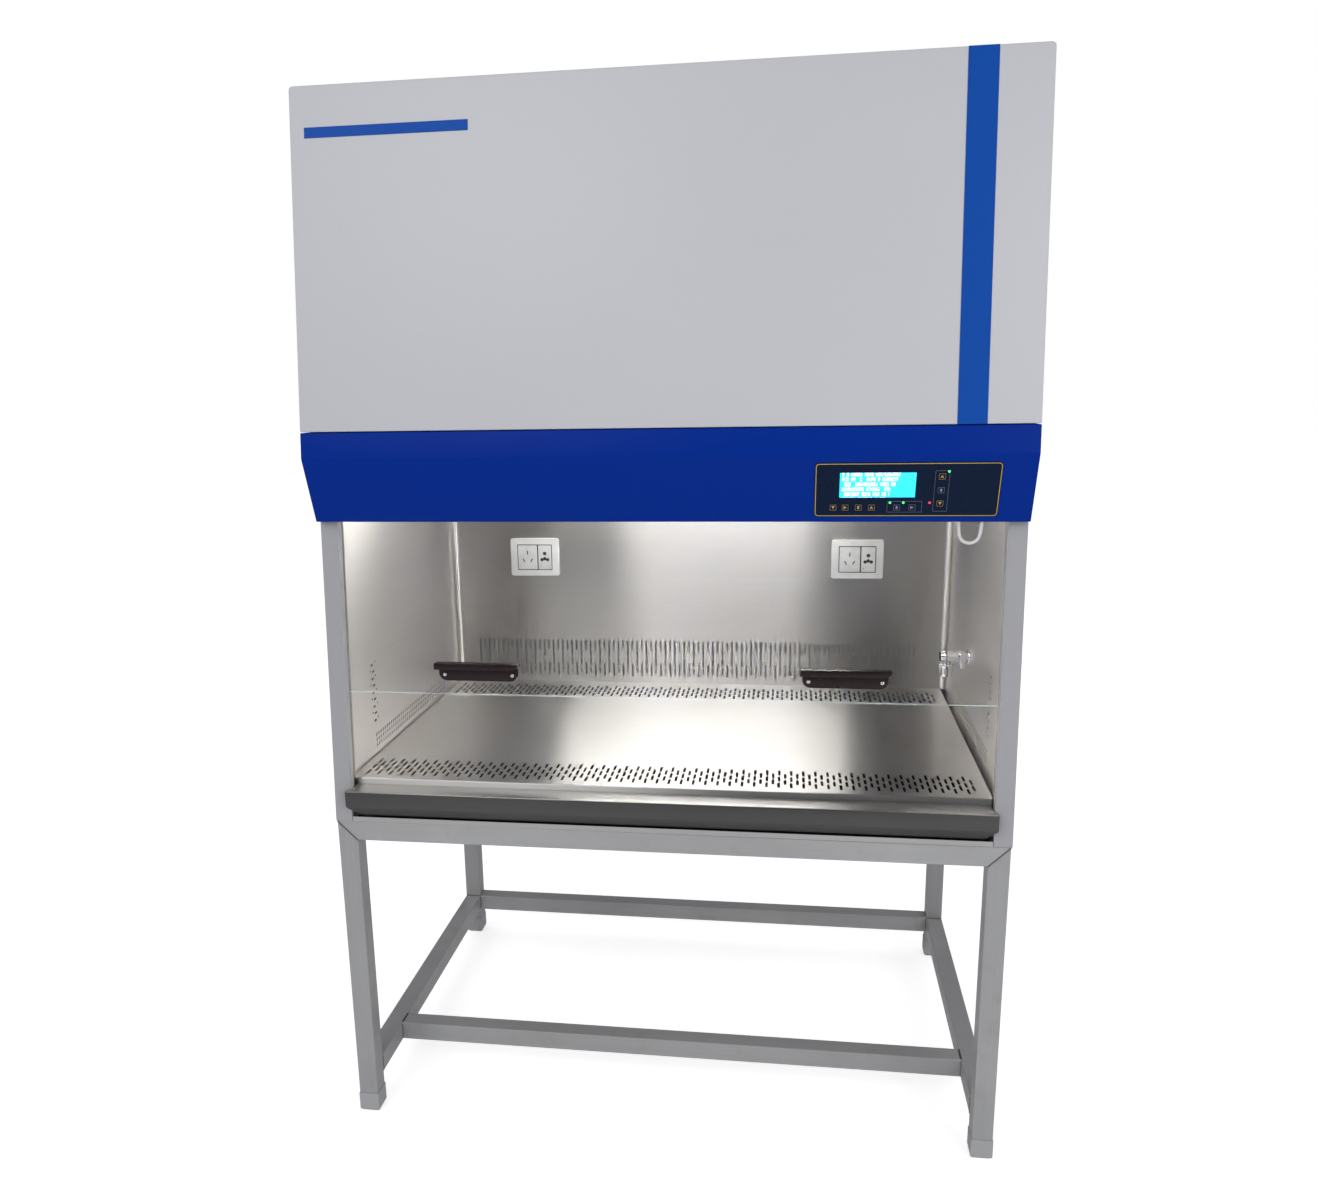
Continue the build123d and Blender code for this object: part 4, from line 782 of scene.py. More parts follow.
class Shape:
    """A mesh under construction, with the operators that the pieces share."""

    def __init__(self) -> None:
        """Starts an empty mesh."""
        self.mesh = bmesh.new()

    def move(self, verts: Iterable, matrix: Matrix) -> None:
        """Moves vertices by a matrix.

        Args:
            verts: the vertices.
            matrix: where they go.
        """
        bmesh.ops.transform(self.mesh, matrix=matrix, verts=list(verts))

    def block(self, low: Point, high: Point, round_off: float = 0.0,
              place: Matrix = Matrix.Identity(4)) -> None:
        """Adds a box whose edges may be rounded.

        Args:
            low: its lowest corner.
            high: its highest corner.
            round_off: width of the rounding.
            place: where the finished box goes.
        """
        before = set(self.mesh.verts)
        verts = bmesh.ops.create_cube(self.mesh, size=1.0)["verts"]
        size = [b - a for a, b in zip(low, high)]
        middle = [(a + b) / 2 for a, b in zip(low, high)]
        self.move(verts, Matrix.Translation(middle) @ Matrix.Diagonal((*size, 1.0)))
        if round_off:
            self.round_edges(list({edge for vert in verts for edge in vert.link_edges}), round_off, 2)
        self.move(set(self.mesh.verts) - before, place)

    def round_edges(self, edges: list, width: float, segments: int) -> None:
        """Rounds edges.

        Args:
            edges: the edges.
            width: width of the rounding.
            segments: faces across it.
        """
        bmesh.ops.bevel(self.mesh, geom=edges, offset=width, affect="EDGES", segments=segments, profile=0.5,
                        material=-1, clamp_overlap=True)

    def outline(self, points: Sequence[Flat]) -> list:
        """Adds a closed line of edges in the XY plane.

        Args:
            points: its corners.
        Returns:
            The edges.
        """
        verts = [self.mesh.verts.new((x, y, 0.0)) for x, y in points]
        return [self.mesh.edges.new(ends) for ends in zip(verts, verts[1:] + verts[:1])]

    def slot_edges(self, slot: Slot, segments: int = 10) -> list:
        """Adds the outline of a slot: a circle drawn apart along Y.

        Args:
            slot: the slot.
            segments: sides of the circle.
        Returns:
            Its edges.
        """
        made = bmesh.ops.create_circle(self.mesh, cap_ends=False, radius=slot.width / 2,
                                       segments=segments)["verts"]
        self.move(made, Matrix.Rotation(pi / segments, 4, "Z"))
        for vert in made:
            vert.co.y += (slot.length - slot.width) / 2 * (1 if vert.co.y > 0 else -1)
        self.move(made, slot.place())
        return list({edge for vert in made for edge in vert.link_edges})

    def thicken(self, faces: list, depth: float) -> None:
        """Turns flat faces into a closed solid below them.

        Args:
            faces: the faces.
            depth: how deep the solid is.
        """
        grown = bmesh.ops.extrude_face_region(self.mesh, geom=faces, use_keep_orig=True)["geom"]
        lower = [item for item in grown if isinstance(item, bmesh.types.BMVert)]
        bmesh.ops.translate(self.mesh, vec=(0.0, 0.0, -depth), verts=lower)

    def fill(self, edges: list) -> list:
        """Fills a flat outline round the holes in it.

        Args:
            edges: the outline's edges and those of the holes.
        Returns:
            The faces.
        """
        filled = bmesh.ops.triangle_fill(self.mesh, use_beauty=True, edges=edges)["geom"]
        return [item for item in filled if isinstance(item, bmesh.types.BMFace)]

    def plate(self, outline: Sequence[Flat], thickness: float, slots: Iterable[Slot] = (),
              place: Matrix = Matrix.Identity(4)) -> None:
        """Flat plate with slots: its face in XY, its thickness below.

        Args:
            outline: the plate's outline.
            thickness: how thick it is.
            slots: its slots.
            place: where the finished plate goes.
        """
        before = set(self.mesh.verts)
        edges = self.outline(outline)
        for slot in slots:
            edges += self.slot_edges(slot)
        self.thicken(self.fill(edges), thickness)
        self.move(set(self.mesh.verts) - before, place)

    def prism(self, outline: Sequence[Flat], thickness: float, place: Matrix = Matrix.Identity(4),
              round_off: float = 0.0) -> None:
        """Solid with one outline and no holes: its face in XY, its thickness below.

        Args:
            outline: the face's outline.
            thickness: how deep the solid is.
            place: where the finished solid goes.
            round_off: width of the rounding of its edges.
        """
        before = set(self.mesh.verts)
        face = bmesh.ops.contextual_create(self.mesh, geom=self.outline(outline))["faces"][0]
        self.thicken([face], thickness)
        if round_off:
            self.soften(round_off, verts=set(self.mesh.verts) - before)
        self.move(set(self.mesh.verts) - before, place)

    def soften(self, width: float, segments: int = 3, sharper: float = 0.6,
               verts: Optional[set] = None) -> None:
        """Rounds every edge that is sharper than an angle.

        Args:
            width: width of the rounding.
            segments: faces across it.
            sharper: the angle.
            verts: vertices whose edges are looked at; all if none are given.
        """
        bmesh.ops.recalc_face_normals(self.mesh, faces=self.mesh.faces[:])
        self.round_edges([edge for edge in self.mesh.edges if edge.is_manifold
                          and edge.calc_face_angle(0.0) > sharper
                          and (verts is None or edge.verts[0] in verts)], width, segments)

    def cut(self, point: Point, normal: Point) -> None:
        """Takes away what lies beyond a plane and closes the cut.

        Args:
            point: a point of the plane.
            normal: direction of what goes.
        """
        geometry = self.mesh.verts[:] + self.mesh.edges[:] + self.mesh.faces[:]
        made = bmesh.ops.bisect_plane(self.mesh, geom=geometry, dist=1e-6, plane_co=point, plane_no=normal,
                                      clear_outer=True)["geom_cut"]
        edges = [item for item in made if isinstance(item, bmesh.types.BMEdge)]
        if edges:
            bmesh.ops.holes_fill(self.mesh, edges=edges, sides=0)

    def lathe(self, line: Sequence[Flat], place: Matrix = Matrix.Identity(4), steps: int = 32) -> None:
        """Turns a line of radius and height about Z.

        Args:
            line: the line, from end to end.
            place: where the turned piece goes.
            steps: sides of the turned piece.
        """
        before = set(self.mesh.verts)
        verts = [self.mesh.verts.new((radius, 0.0, height)) for radius, height in line]
        edges = [self.mesh.edges.new(ends) for ends in zip(verts, verts[1:])]
        bmesh.ops.spin(self.mesh, geom=verts + edges, cent=(0, 0, 0), axis=(0, 0, 1), dvec=(0, 0, 0),
                       angle=2 * pi, steps=steps, use_merge=True, use_duplicate=False)
        bmesh.ops.remove_doubles(self.mesh, verts=[vert for vert in self.mesh.verts if vert not in before],
                                 dist=1e-6)
        self.move([vert for vert in self.mesh.verts if vert not in before], place)

    def ribbon(self, section: Sequence[Flat], x0: float, x1: float, thickness: float, place: Matrix) -> None:
        """Bent sheet: its section in Y and Z drawn along X, then given thickness.

        Args:
            section: the section's points.
            x0: where the sheet starts.
            x1: where it ends.
            thickness: how thick it is; the sign picks the side that grows.
            place: where the finished sheet goes.
        """
        before = set(self.mesh.verts)
        verts = [self.mesh.verts.new((x0, y, z)) for y, z in section]
        edges = [self.mesh.edges.new(ends) for ends in zip(verts, verts[1:])]
        grown = bmesh.ops.extrude_edge_only(self.mesh, edges=edges)["geom"]
        bmesh.ops.translate(self.mesh, vec=(x1 - x0, 0.0, 0.0),
                            verts=[item for item in grown if isinstance(item, bmesh.types.BMVert)])
        faces = [face for face in self.mesh.faces if not set(face.verts) & before]
        bmesh.ops.solidify(self.mesh, geom=faces, thickness=thickness)
        self.move(set(self.mesh.verts) - before, place)

    def skin(self, rings: Sequence[Sequence[Vector]]) -> None:
        """Closed skin over a row of rings.

        Args:
            rings: the points of each ring, as many in every one.
        """
        made = [[self.mesh.verts.new(point) for point in ring] for ring in rings]
        sides = len(made[0])
        for ring, following in zip(made, made[1:]):
            for side in range(sides):
                other = (side + 1) % sides
                self.mesh.faces.new((ring[side], ring[other], following[other], following[side]))
        for ring in (made[0], made[-1]):
            self.mesh.faces.new(ring)

    def finish(self, name: str, finish: Finish, body: str = ROOT, nodes: Sequence[str] = (), slot: str = "",
               smooth: float = 32.0) -> bpy.types.Object:
        """Makes the object, dresses it and joins it to its body.

        Args:
            name: the piece's name.
            finish: what it is made of.
            body: the body that it moves with; empty for a piece between two bodies.
            nodes: the CAD nodes that it stands for.
            slot: the record's material slot; not used.
            smooth: edges flatter than this many degrees shade smoothly.
        Returns:
            The new object.
        """
        bmesh.ops.recalc_face_normals(self.mesh, faces=self.mesh.faces[:])
        bmesh.ops.translate(self.mesh, vec=(0.0, FRONT_Y, 0.0), verts=self.mesh.verts[:])
        data = bpy.data.meshes.new(name)
        self.mesh.to_mesh(data)
        self.mesh.free()
        data.shade_smooth()
        data.set_sharp_from_angle(angle=radians(smooth))
        data.materials.append(finish.material())
        piece = bpy.data.objects.new(name, data)
        bpy.context.scene.collection.objects.link(piece)
        if body:
            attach(piece, body)
        if nodes:
            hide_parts(*nodes)
        log.info("piece %s: %d faces", name, len(data.polygons))
        return piece


BACK_WALL_Y = 0.790
WALL_X = 0.628
GLASS_FRONT = 0.020
BEND_Z = 1.3735
HOOD_FOOT_Y = 0.020
HOOD_LOW, HOOD_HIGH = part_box("hood")
HOOD_FRONT_Y = HOOD_LOW.y - FRONT_Y
SLANT = atan2(HOOD_FOOT_Y - HOOD_FRONT_Y, BEND_Z - HOOD_LOW.z)
LEANING = Matrix.Translation((0.0, 0.0, STAND_TOP)) @ Matrix.Rotation(-LEAN, 4, "X")
FACING_USER = Matrix.Rotation(pi / 2, 4, "X")
SLANTED = Matrix.Translation((0.0, HOOD_FRONT_Y, BEND_Z)) @ Matrix((
    (1.0, 0.0, 0.0, 0.0), (0.0, sin(SLANT), -cos(SLANT), 0.0), (0.0, -cos(SLANT), -sin(SLANT), 0.0),
    (0.0, 0.0, 0.0, 1.0)))


def raised(height: float) -> Matrix:
    """Lifts a piece off its base.

    Args:
        height: how far.
    Returns:
        The matrix.
    """
    return Matrix.Translation((0.0, 0.0, height))


def side_on(x: float, side: float = 1.0) -> Matrix:
    """Stands an outline of Y and Z at an X; what is below its face lies nearer the middle for side 1.

    Args:
        x: where its face stands.
        side: -1 to let its depth run the other way.
    Returns:
        The matrix.
    """
    return Matrix(((0.0, 0.0, side, x), (1.0, 0.0, 0.0, 0.0), (0.0, 1.0, 0.0, 0.0), (0.0, 0.0, 0.0, 1.0)))


@dataclass
class Chamber:
    """Perforated liner walls, the work tray and the armrest in front of it."""

    ceiling: float = 1.388
    cove: float = 0.014
    cove_steps: int = 8
    sheet: float = 0.0012
    guide_depth: float = 0.030
    tray_top: float = 0.740
    tray_left: float = -0.626
    tray_right: float = 0.618
    tray_front: float = 0.032
    tray_bend: float = 0.003
    bend_steps: int = 4
    tray_sheet: float = 0.0015
    slot_width: float = 0.0055
    slot_length: float = 0.027
    slot_step: float = 0.034
    grille_pitch: float = 0.0118
    grille_left: float = -0.602
    grille_columns: int = 102
    grille_rows: tuple = ((3, 0.0), (2, 0.017))
    grille_fronts: Flat = (0.053, 0.655)
    wall_pitch: float = 0.0123
    wall_left: float = -0.570
    wall_columns: int = 92
    wall_slot: float = 0.0048
    wall_slots: tuple = (((0.852, 0.044), (0.805, 0.020), (0.780, 0.015)),
                         ((0.852, 0.028), (0.792, 0.020), (0.772, 0.015)))
    column_front: float = 0.183
    column_bottom: float = 0.812
    column_rows: int = 9
    column_step: float = 0.015
    column_shifts: tuple = ((0.0, 0.017), (0.006, -0.010))
    column_slot: Flat = (0.0055, 0.012)
    stub_slot: Flat = (0.004, 0.0055)
    stub_rise: float = 0.004
    band_front: float = 0.184
    band_columns: int = 38
    band_pitch: float = 0.0125
    band_bottom: float = 0.757
    band_rows: int = 3
    band_step: float = 0.0115
    band_slot: Flat = (0.0045, 0.009)
    rest_inner: float = 0.614
    rest_face: float = 0.6945
    rest_round: float = 0.0022

    def tray_slots(self) -> list[Slot]:
        """Slots of both grilles: three and two in turn.

        Returns:
            The slots.
        """
        slots = []
        for front in self.grille_fronts:
            for column in range(self.grille_columns):
                rows, shift = self.grille_rows[column % 2]
                for row in range(rows):
                    y = front + shift + row * self.slot_step + self.slot_length / 2
                    slots.append(Slot((self.grille_left + column * self.grille_pitch, y), self.slot_width,
                                      self.slot_length))
        return slots

    def tray(self) -> None:
        """Work tray: a perforated top with skirts folded down round it."""
        shape = Shape()
        bend, end = self.tray_bend, BACK_WALL_Y + self.sheet
        left, right, front = self.tray_left + bend, self.tray_right - bend, self.tray_front + bend
        shape.plate([(left, front), (right, front), (right, end), (left, end)], self.tray_sheet,
                    self.tray_slots(), raised(self.tray_top))
        angles = [pi / 2 * step / self.bend_steps for step in range(self.bend_steps + 1)]
        section = [(bend - bend * sin(angle), bend * cos(angle) - bend) for angle in angles]
        section.append((0.0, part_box("work_tray")[0].z - self.tray_top))
        shape.ribbon(section, left, right, -self.tray_sheet,
                     Matrix.Translation((0.0, self.tray_front, self.tray_top)))
        for x, turn, reach in ((self.tray_left, -pi / 2, (-end, -front)),
                               (self.tray_right, pi / 2, (front, end))):
            side = Matrix.Translation((x, 0.0, self.tray_top)) @ Matrix.Rotation(turn, 4, "Z")
            shape.ribbon(section, *reach, -self.tray_sheet, side)
        shape.finish("tray_sheet", TRAY_STEEL, nodes=["work_tray"], slot="tray_steel")

    def back_wall(self) -> None:
        """Back liner with its bands of slots, which differ from column to column."""
        slots = []
        for column in range(self.wall_columns):
            x = self.wall_left + column * self.wall_pitch
            slots += [Slot((x, top - length / 2), self.wall_slot, length)
                      for top, length in self.wall_slots[column % 2]]
        shape = Shape()
        flat = WALL_X - self.cove
        low, high = self.tray_top, self.ceiling
        shape.plate([(-flat, low), (flat, low), (flat, high), (-flat, high)], self.sheet, slots,
                    Matrix.Translation((0.0, BACK_WALL_Y, 0.0)) @ FACING_USER)
        shape.finish("back_liner", WALL_STEEL, nodes=["chamber_back_wall"], slot="chamber_steel")

    def side_slots(self) -> list[Slot]:
        """Slots of a side wall, in its own plane: a column of long and short ones, and a low band.

        Returns:
            The slots.
        """
        slots = []
        for row in range(self.column_rows):
            z = self.column_bottom + row * self.column_step
            near, far = self.column_shifts[row % 2]
            slots.append(Slot((self.column_front + near, z), *self.column_slot, pi / 2))
            slots.append(Slot((self.column_front + far, z + self.stub_rise), *self.stub_slot))
        for column in range(self.band_columns):
            y = self.band_front + column * self.band_pitch
            slots += [Slot((y, self.band_bottom + row * self.band_step), *self.band_slot)
                      for row in range(self.band_rows)]
        return slots

    def side_walls(self) -> None:
        """Side liners with the rounded corners bent into their back edges."""
        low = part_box("chamber_side_walls")[0].z
        corner = BACK_WALL_Y - self.cove
        outline = [(lean_y(low, self.guide_depth), low), (corner, low), (corner, self.ceiling),
                   (lean_y(self.ceiling, self.guide_depth), self.ceiling)]
        angles = [pi / 2 * step / self.cove_steps for step in range(self.cove_steps + 1)]
        along_z = Matrix(((0.0, 1.0, 0.0, 0.0), (0.0, 0.0, 1.0, 0.0), (1.0, 0.0, 0.0, 0.0),
                          (0.0, 0.0, 0.0, 1.0)))
        for side, name in ((-1, "left"), (1, "right")):
            shape = Shape()
            shape.plate(outline, self.sheet, self.side_slots(),
                        side_on(side * WALL_X, side) @ raised(self.sheet))
            arc = [(self.cove * cos(angle) * side, self.cove * sin(angle)) for angle in angles]
            upright = Matrix.Translation((side * (WALL_X - self.cove), corner, 0.0)) @ along_z
            shape.ribbon(arc, self.tray_top, self.ceiling, -side * self.sheet / 2, upright)
            shape.finish(f"side_liner_{name}", LIT_SIDE_STEEL, nodes=["chamber_side_walls"] if side < 0 else (),
                         slot="chamber_steel")

    def armrest(self) -> None:
        """Armrest: a flat top, an upright face and a bevel that runs round below it."""
        low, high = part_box("armrest")
        front, back, wide, narrow = low.y - FRONT_Y, high.y - FRONT_Y, high.x, self.rest_inner
        drop = self.rest_face - low.z
        shape = Shape()
        shape.prism([(-wide, front), (wide, front), (wide, 0.0), (narrow, 0.0), (narrow, back),
                     (-narrow, back), (-narrow, 0.0), (-wide, 0.0)], high.z - low.z, raised(high.z))
        shape.cut((0.0, front, self.rest_face), (0.0, -drop, front))
        shape.cut((wide, 0.0, self.rest_face), (drop, 0.0, -drop))
        shape.cut((-wide, 0.0, self.rest_face), (-drop, 0.0, -drop))
        shape.soften(self.rest_round, segments=4, sharper=0.5)
        shape.finish("armrest_shell", ARMREST_STEEL, nodes=["armrest"], slot="armrest_steel")

    def build(self) -> None:
        """Builds the whole chamber."""
        self.tray()
        self.back_wall()
        self.side_walls()
        self.armrest()


@dataclass
class Sash:
    """Moulded pulls on the pane, with their screws."""

    centres: Flat = (-0.353, 0.343)
    width: float = 0.165
    height: float = 0.037
    plate: float = 0.004
    plate_round: float = 0.0008
    reach: float = 0.024
    brim: float = 0.0125
    brim_round: float = 0.0014
    brim_end: tuple = (mm(11, 0), mm(4, 3), mm(0, 8))
    tuck: float = 0.002
    corner: float = 0.016
    overhang: float = 0.004
    screw_offset: float = 0.067
    screw_height: float = 0.012
    foot: float = 0.028

    def frame(self, centre: float) -> Matrix:
        """Frame at the foot of a pull: X across, Y up the pane, Z out towards the user.

        Args:
            centre: the pull's X.
        Returns:
            The frame.
        """
        base = (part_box("sash_glass")[0].z - STAND_TOP + GLASS_FRONT * sin(LEAN)) / cos(LEAN)
        return LEANING @ Matrix.Translation((centre, GLASS_FRONT, base + self.foot)) @ FACING_USER

    def pulls(self) -> None:
        """A plate with rounded lower corners, and the brim that the fingers lift."""
        shape = Shape()
        half, inner, start = self.width / 2, self.width / 2 - self.overhang, self.height - self.brim
        whole = rounded_rectangle((-inner, 0.0), (inner, 2 * self.height), self.corner, 7)
        plate = [(inner, self.height - self.tuck), (-inner, self.height - self.tuck)]
        plate += [(x, y) for x, y in whole if y < self.height]
        brim = [(-half, start)] + [(half - inward, start + upward) for inward, upward in self.brim_end]
        brim += [(half, self.height), (-half, self.height)]
        for centre in self.centres:
            place = self.frame(centre)
            shape.prism(plate, self.plate, place @ raised(self.plate), self.plate_round)
            shape.prism(brim, self.reach - self.plate / 2, place @ raised(self.reach), self.brim_round)
        shape.finish("sash_pulls", HANDLE_PLASTIC, body="sash", nodes=["sash_handles"], slot="handle_plastic")

    def screws(self) -> None:
        """Domed screw heads with a recess for the driver."""
        shape = Shape()
        dome = profile((0, 0), (3.6, 0), (3.492, 0.6), (2.7, 1.2), (1.44, 1.5), (1.2, 1.5), (0.9, 0.8),
                       (0, 0.6))
        for centre in self.centres:
            for side in (-1, 1):
                offset = Matrix.Translation((side * self.screw_offset, self.screw_height, self.plate))
                shape.lathe(dome, self.frame(centre) @ offset, steps=20)
        shape.finish("pull_screws", CHROME, body="sash", nodes=["handle_screws"], slot="screw_chrome")

    def build(self) -> None:
        """Builds what the pane carries."""
        self.pulls()
        self.screws()


@dataclass
class Counterbalance:
    """Cables of the sash: straight front and rear runs, and the turns over fixed pulleys."""

    across: float = 0.596
    offset: float = 0.023
    pulley: float = 0.020
    pulley_z: float = 1.985
    weight_top: float = 1.772
    glass_height: float = 0.560
    lug: float = 0.012
    radius: float = 0.001
    sides: int = 10
    run_steps: int = 24
    turn_steps: int = 16

    def rope(self, name: str, points: Sequence[Point], replaced: Sequence[str] = (),
             body: str = "") -> bpy.types.Object:
        """A round cable through points, as a closed mesh.

        Args:
            name: the piece's name.
            points: its middle line.
            replaced: the CAD nodes that it stands for.
            body: the body that it moves with, if it moves with one only.
        Returns:
            The new object.
        """
        circle = [Vector((self.radius * cos(2 * pi * side / self.sides),
                          self.radius * sin(2 * pi * side / self.sides), 0.0)) for side in range(self.sides)]
        rings = []
        for index, point in enumerate(points):
            before, after = points[max(index - 1, 0)], points[min(index + 1, len(points) - 1)]
            turn = (Vector(after) - Vector(before)).to_track_quat("Z", "X").to_matrix()
            rings.append([Vector(point) + turn @ corner for corner in circle])
        shape = Shape()
        shape.skin(rings)
        return shape.finish(name, CABLE_STEEL, body=body, nodes=replaced, slot="cable_steel", smooth=60.0)

    def run(self, start: Vector, end: Vector) -> list[Vector]:
        """Even steps along a straight run.

        Args:
            start: where it starts.
            end: where it ends.
        Returns:
            The points.
        """
        return [start.lerp(end, step / self.run_steps) for step in range(self.run_steps + 1)]

    def build(self) -> None:
        """Front run, turn and rear run of each cable."""
        base = (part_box("sash_glass")[0].z - STAND_TOP + self.offset * sin(LEAN)) / cos(LEAN)
        centre_y = lean_y(self.pulley_z, self.offset + self.pulley)
        angles = [LEAN + (pi - LEAN) * step / self.turn_steps for step in range(self.turn_steps + 1)]
        for side, word in ((-1, "left"), (1, "right")):
            x = side * self.across
            foot = LEANING @ Vector((x, self.offset, base + self.glass_height + self.lug))
            arc = [Vector((x, centre_y - self.pulley * cos(angle), self.pulley_z + self.pulley * sin(angle)))
                   for angle in angles]
            meet, top, bottom = arc[0], arc[-1], Vector((x, centre_y + self.pulley, self.weight_top))
            replaced = ["sash_cables"] if side < 0 else ()
            front = self.rope(f"cable_front_{word}", self.run(foot, meet), replaced)
            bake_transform(front)
            self.rope(f"cable_turn_{word}", arc, body=ROOT)
            rear = self.rope(f"cable_rear_{word}", self.run(bottom, top))
            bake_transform(rear)


class Mark(Enum):
    """Plain shape printed on a key, across and down the face, in shares of its half size."""

    WEDGE = ((-1.0, -1.0), (1.0, -1.0), (0.0, 1.0))
    POINTER = ((-1.0, -1.0), (1.0, 0.0), (-1.0, 1.0))
    BAR = tuple(rounded_rectangle((-0.6, -1.0), (0.6, 1.0), 0.6 / 2.8, 2))
    ROOF = ((-1.0, 1.0), (0.0, -1.0), (1.0, 1.0), (0.45, 1.0), (0.0, 0.2), (-0.45, 1.0))


@dataclass
class ControlPanel:
    """Printed overlay, display, keys and lights, placed across and down the hood's slanted face."""

    low: Flat = (0.280, 0.015)
    high: Flat = (0.5925, 0.1165)
    corner: float = 0.006
    thickness: float = 0.0012
    ink: float = 0.00015
    gold_inset: float = 0.0012
    gold_line: float = 0.0013
    thin_line: float = 0.0004
    groups: tuple = (((0.4825, 0.030), (0.5065, 0.1065)), ((0.405, 0.087), (0.464, 0.108)))
    group_corner: float = 0.001
    least_corner: float = 0.0002
    key: float = 0.012
    key_gap: float = 0.00025
    key_rise: float = 0.001
    key_depth: float = 0.0036
    key_round: float = 0.0005
    key_inset: float = 0.0006
    row: float = 0.0985
    row_x: tuple = mm(312.6, 333.5, 356.0, 378.5, 421.5, 447.5)
    column_x: float = 0.494
    column: tuple = mm(40.5, 66.0, 91.0)
    mark: float = 0.0028
    prints: tuple = ((Mark.WEDGE, GOLD_INK), (Mark.POINTER, GOLD_INK), (Mark.BAR, GOLD_INK),
                     (Mark.ROOF, GOLD_INK), (Mark.BAR, GREY_INK), (Mark.POINTER, GREY_INK),
                     (Mark.ROOF, GOLD_INK), (Mark.BAR, GREY_INK), (Mark.WEDGE, GOLD_INK))
    display: tuple = mm(322.5, 451.0, 33.0, 79.5)
    display_top: float = 0.002
    display_depth: float = 0.0008
    display_round: float = 0.0003
    lights_at: tuple = ((mm(409.6, 89.8), GREEN_LIGHT), (mm(432.3, 89.8), GREEN_LIGHT),
                        (mm(476.7, 90.0), RED_LIGHT), (mm(504.8, 31.6), GREEN_LIGHT))

    def at(self, height: float) -> Matrix:
        """The slanted face, raised.

        Args:
            height: how far above the hood's paint.
        Returns:
            The frame.
        """
        return SLANTED @ raised(height)

    def framed(self, shape: Shape, low: Flat, high: Flat, radius: float, width: float, height: float) -> None:
        """Adds a printed outline.

        Args:
            shape: the mesh that takes it.
            low: its upper left corner.
            high: its lower right corner.
            radius: radius of its corners.
            width: the line's width.
            height: height of the surface below it.
        """
        before = set(shape.mesh.verts)
        outer = shape.outline(rounded_rectangle(low, high, radius, 4))
        (x0, s0), (x1, s1) = low, high
        inner = shape.outline(rounded_rectangle((x0 + width, s0 + width), (x1 - width, s1 - width),
                                                max(radius - width, self.least_corner), 4))
        shape.thicken(bmesh.ops.bridge_loops(shape.mesh, edges=outer + inner)["faces"], self.ink)
        shape.move(set(shape.mesh.verts) - before, self.at(height + self.ink))

    def key_places(self) -> list[Flat]:
        """Where the keys are.

        Returns:
            The centre of each key.
        """
        return [(x, self.row) for x in self.row_x] + [(self.column_x, s) for s in self.column]

    def overlay(self) -> None:
        """Dark film with an opening for each key, its gold outline and the grey outlines of two groups."""
        shape = Shape()
        edges = shape.outline(rounded_rectangle(self.low, self.high, self.corner))
        half = self.key / 2 + self.key_gap
        for x, s in self.key_places():
            edges += shape.outline([(x - half, s - half), (x + half, s - half), (x + half, s + half),
                                    (x - half, s + half)])
        shape.thicken(shape.fill(edges), self.thickness)
        shape.move(shape.mesh.verts, self.at(self.thickness))
        shape.finish("overlay_film_sheet", OVERLAY_FILM, nodes=["control_overlay"], slot="overlay_film")
        gold, grey = Shape(), Shape()
        inset = self.gold_inset
        low = tuple(value + inset for value in self.low)
        high = tuple(value - inset for value in self.high)
        self.framed(gold, low, high, self.corner, self.gold_line, self.thickness)
        gold.finish("overlay_gold_line", GOLD_INK, slot="overlay_film")
        for low, high in self.groups:
            self.framed(grey, low, high, self.group_corner, self.thin_line, self.thickness)
        grey.finish("overlay_grey_lines", GREY_INK, slot="overlay_film")

    def keys(self) -> None:
        """Nine keys with rounded edges, thin outlines and plain marks."""
        half, top = self.key / 2, self.thickness + self.key_rise
        line = half - self.key_inset
        for number, ((x, s), (mark, ink)) in enumerate(zip(self.key_places(), self.prints), start=1):
            cap, print_on = Shape(), Shape()
            cap.block((x - half, s - half, -self.key_depth), (x + half, s + half, 0.0), self.key_round,
                      self.at(top))
            body = f"key_{number}"
            cap.finish(f"key_cap_{number}", KEY_FILM, body=body, nodes=[body], slot="key_film")
            self.framed(print_on, (x - line, s - line), (x + line, s + line), self.key_inset,
                        self.thin_line, top)
            print_on.prism([(x + self.mark * a, s + self.mark * b) for a, b in mark.value], self.ink,
                           self.at(top + self.ink))
            print_on.finish(f"key_mark_{number}", ink, body=body, slot="key_film")

    def screen(self) -> None:
        """Lit display; its pattern is in its finish."""
        x0, x1, s0, s1 = self.display
        shape = Shape()
        shape.block((x0, s0, -self.display_depth), (x1, s1, 0.0), self.display_round,
                    self.at(self.display_top))
        shape.finish("display_screen", SCREEN, nodes=["display_window"], slot="display_plastic")

    def lights(self) -> None:
        """Domed indicator lenses: three green ones and a red one."""
        lens = profile((0, 0), (2, 0), (1.95, 0.4), (1.4, 0.7), (0, 0.8))
        for number, (place, finish) in enumerate(self.lights_at, start=1):
            shape = Shape()
            shape.lathe(lens, self.at(self.thickness) @ Matrix.Translation((*place, 0.0)), steps=20)
            shape.finish(f"indicator_{number}", finish, nodes=["indicator_lights"] if number == 1 else (),
                         slot="indicator_plastic")

    def build(self) -> None:
        """Builds the whole panel."""
        self.overlay()
        self.keys()
        self.screen()
        self.lights()


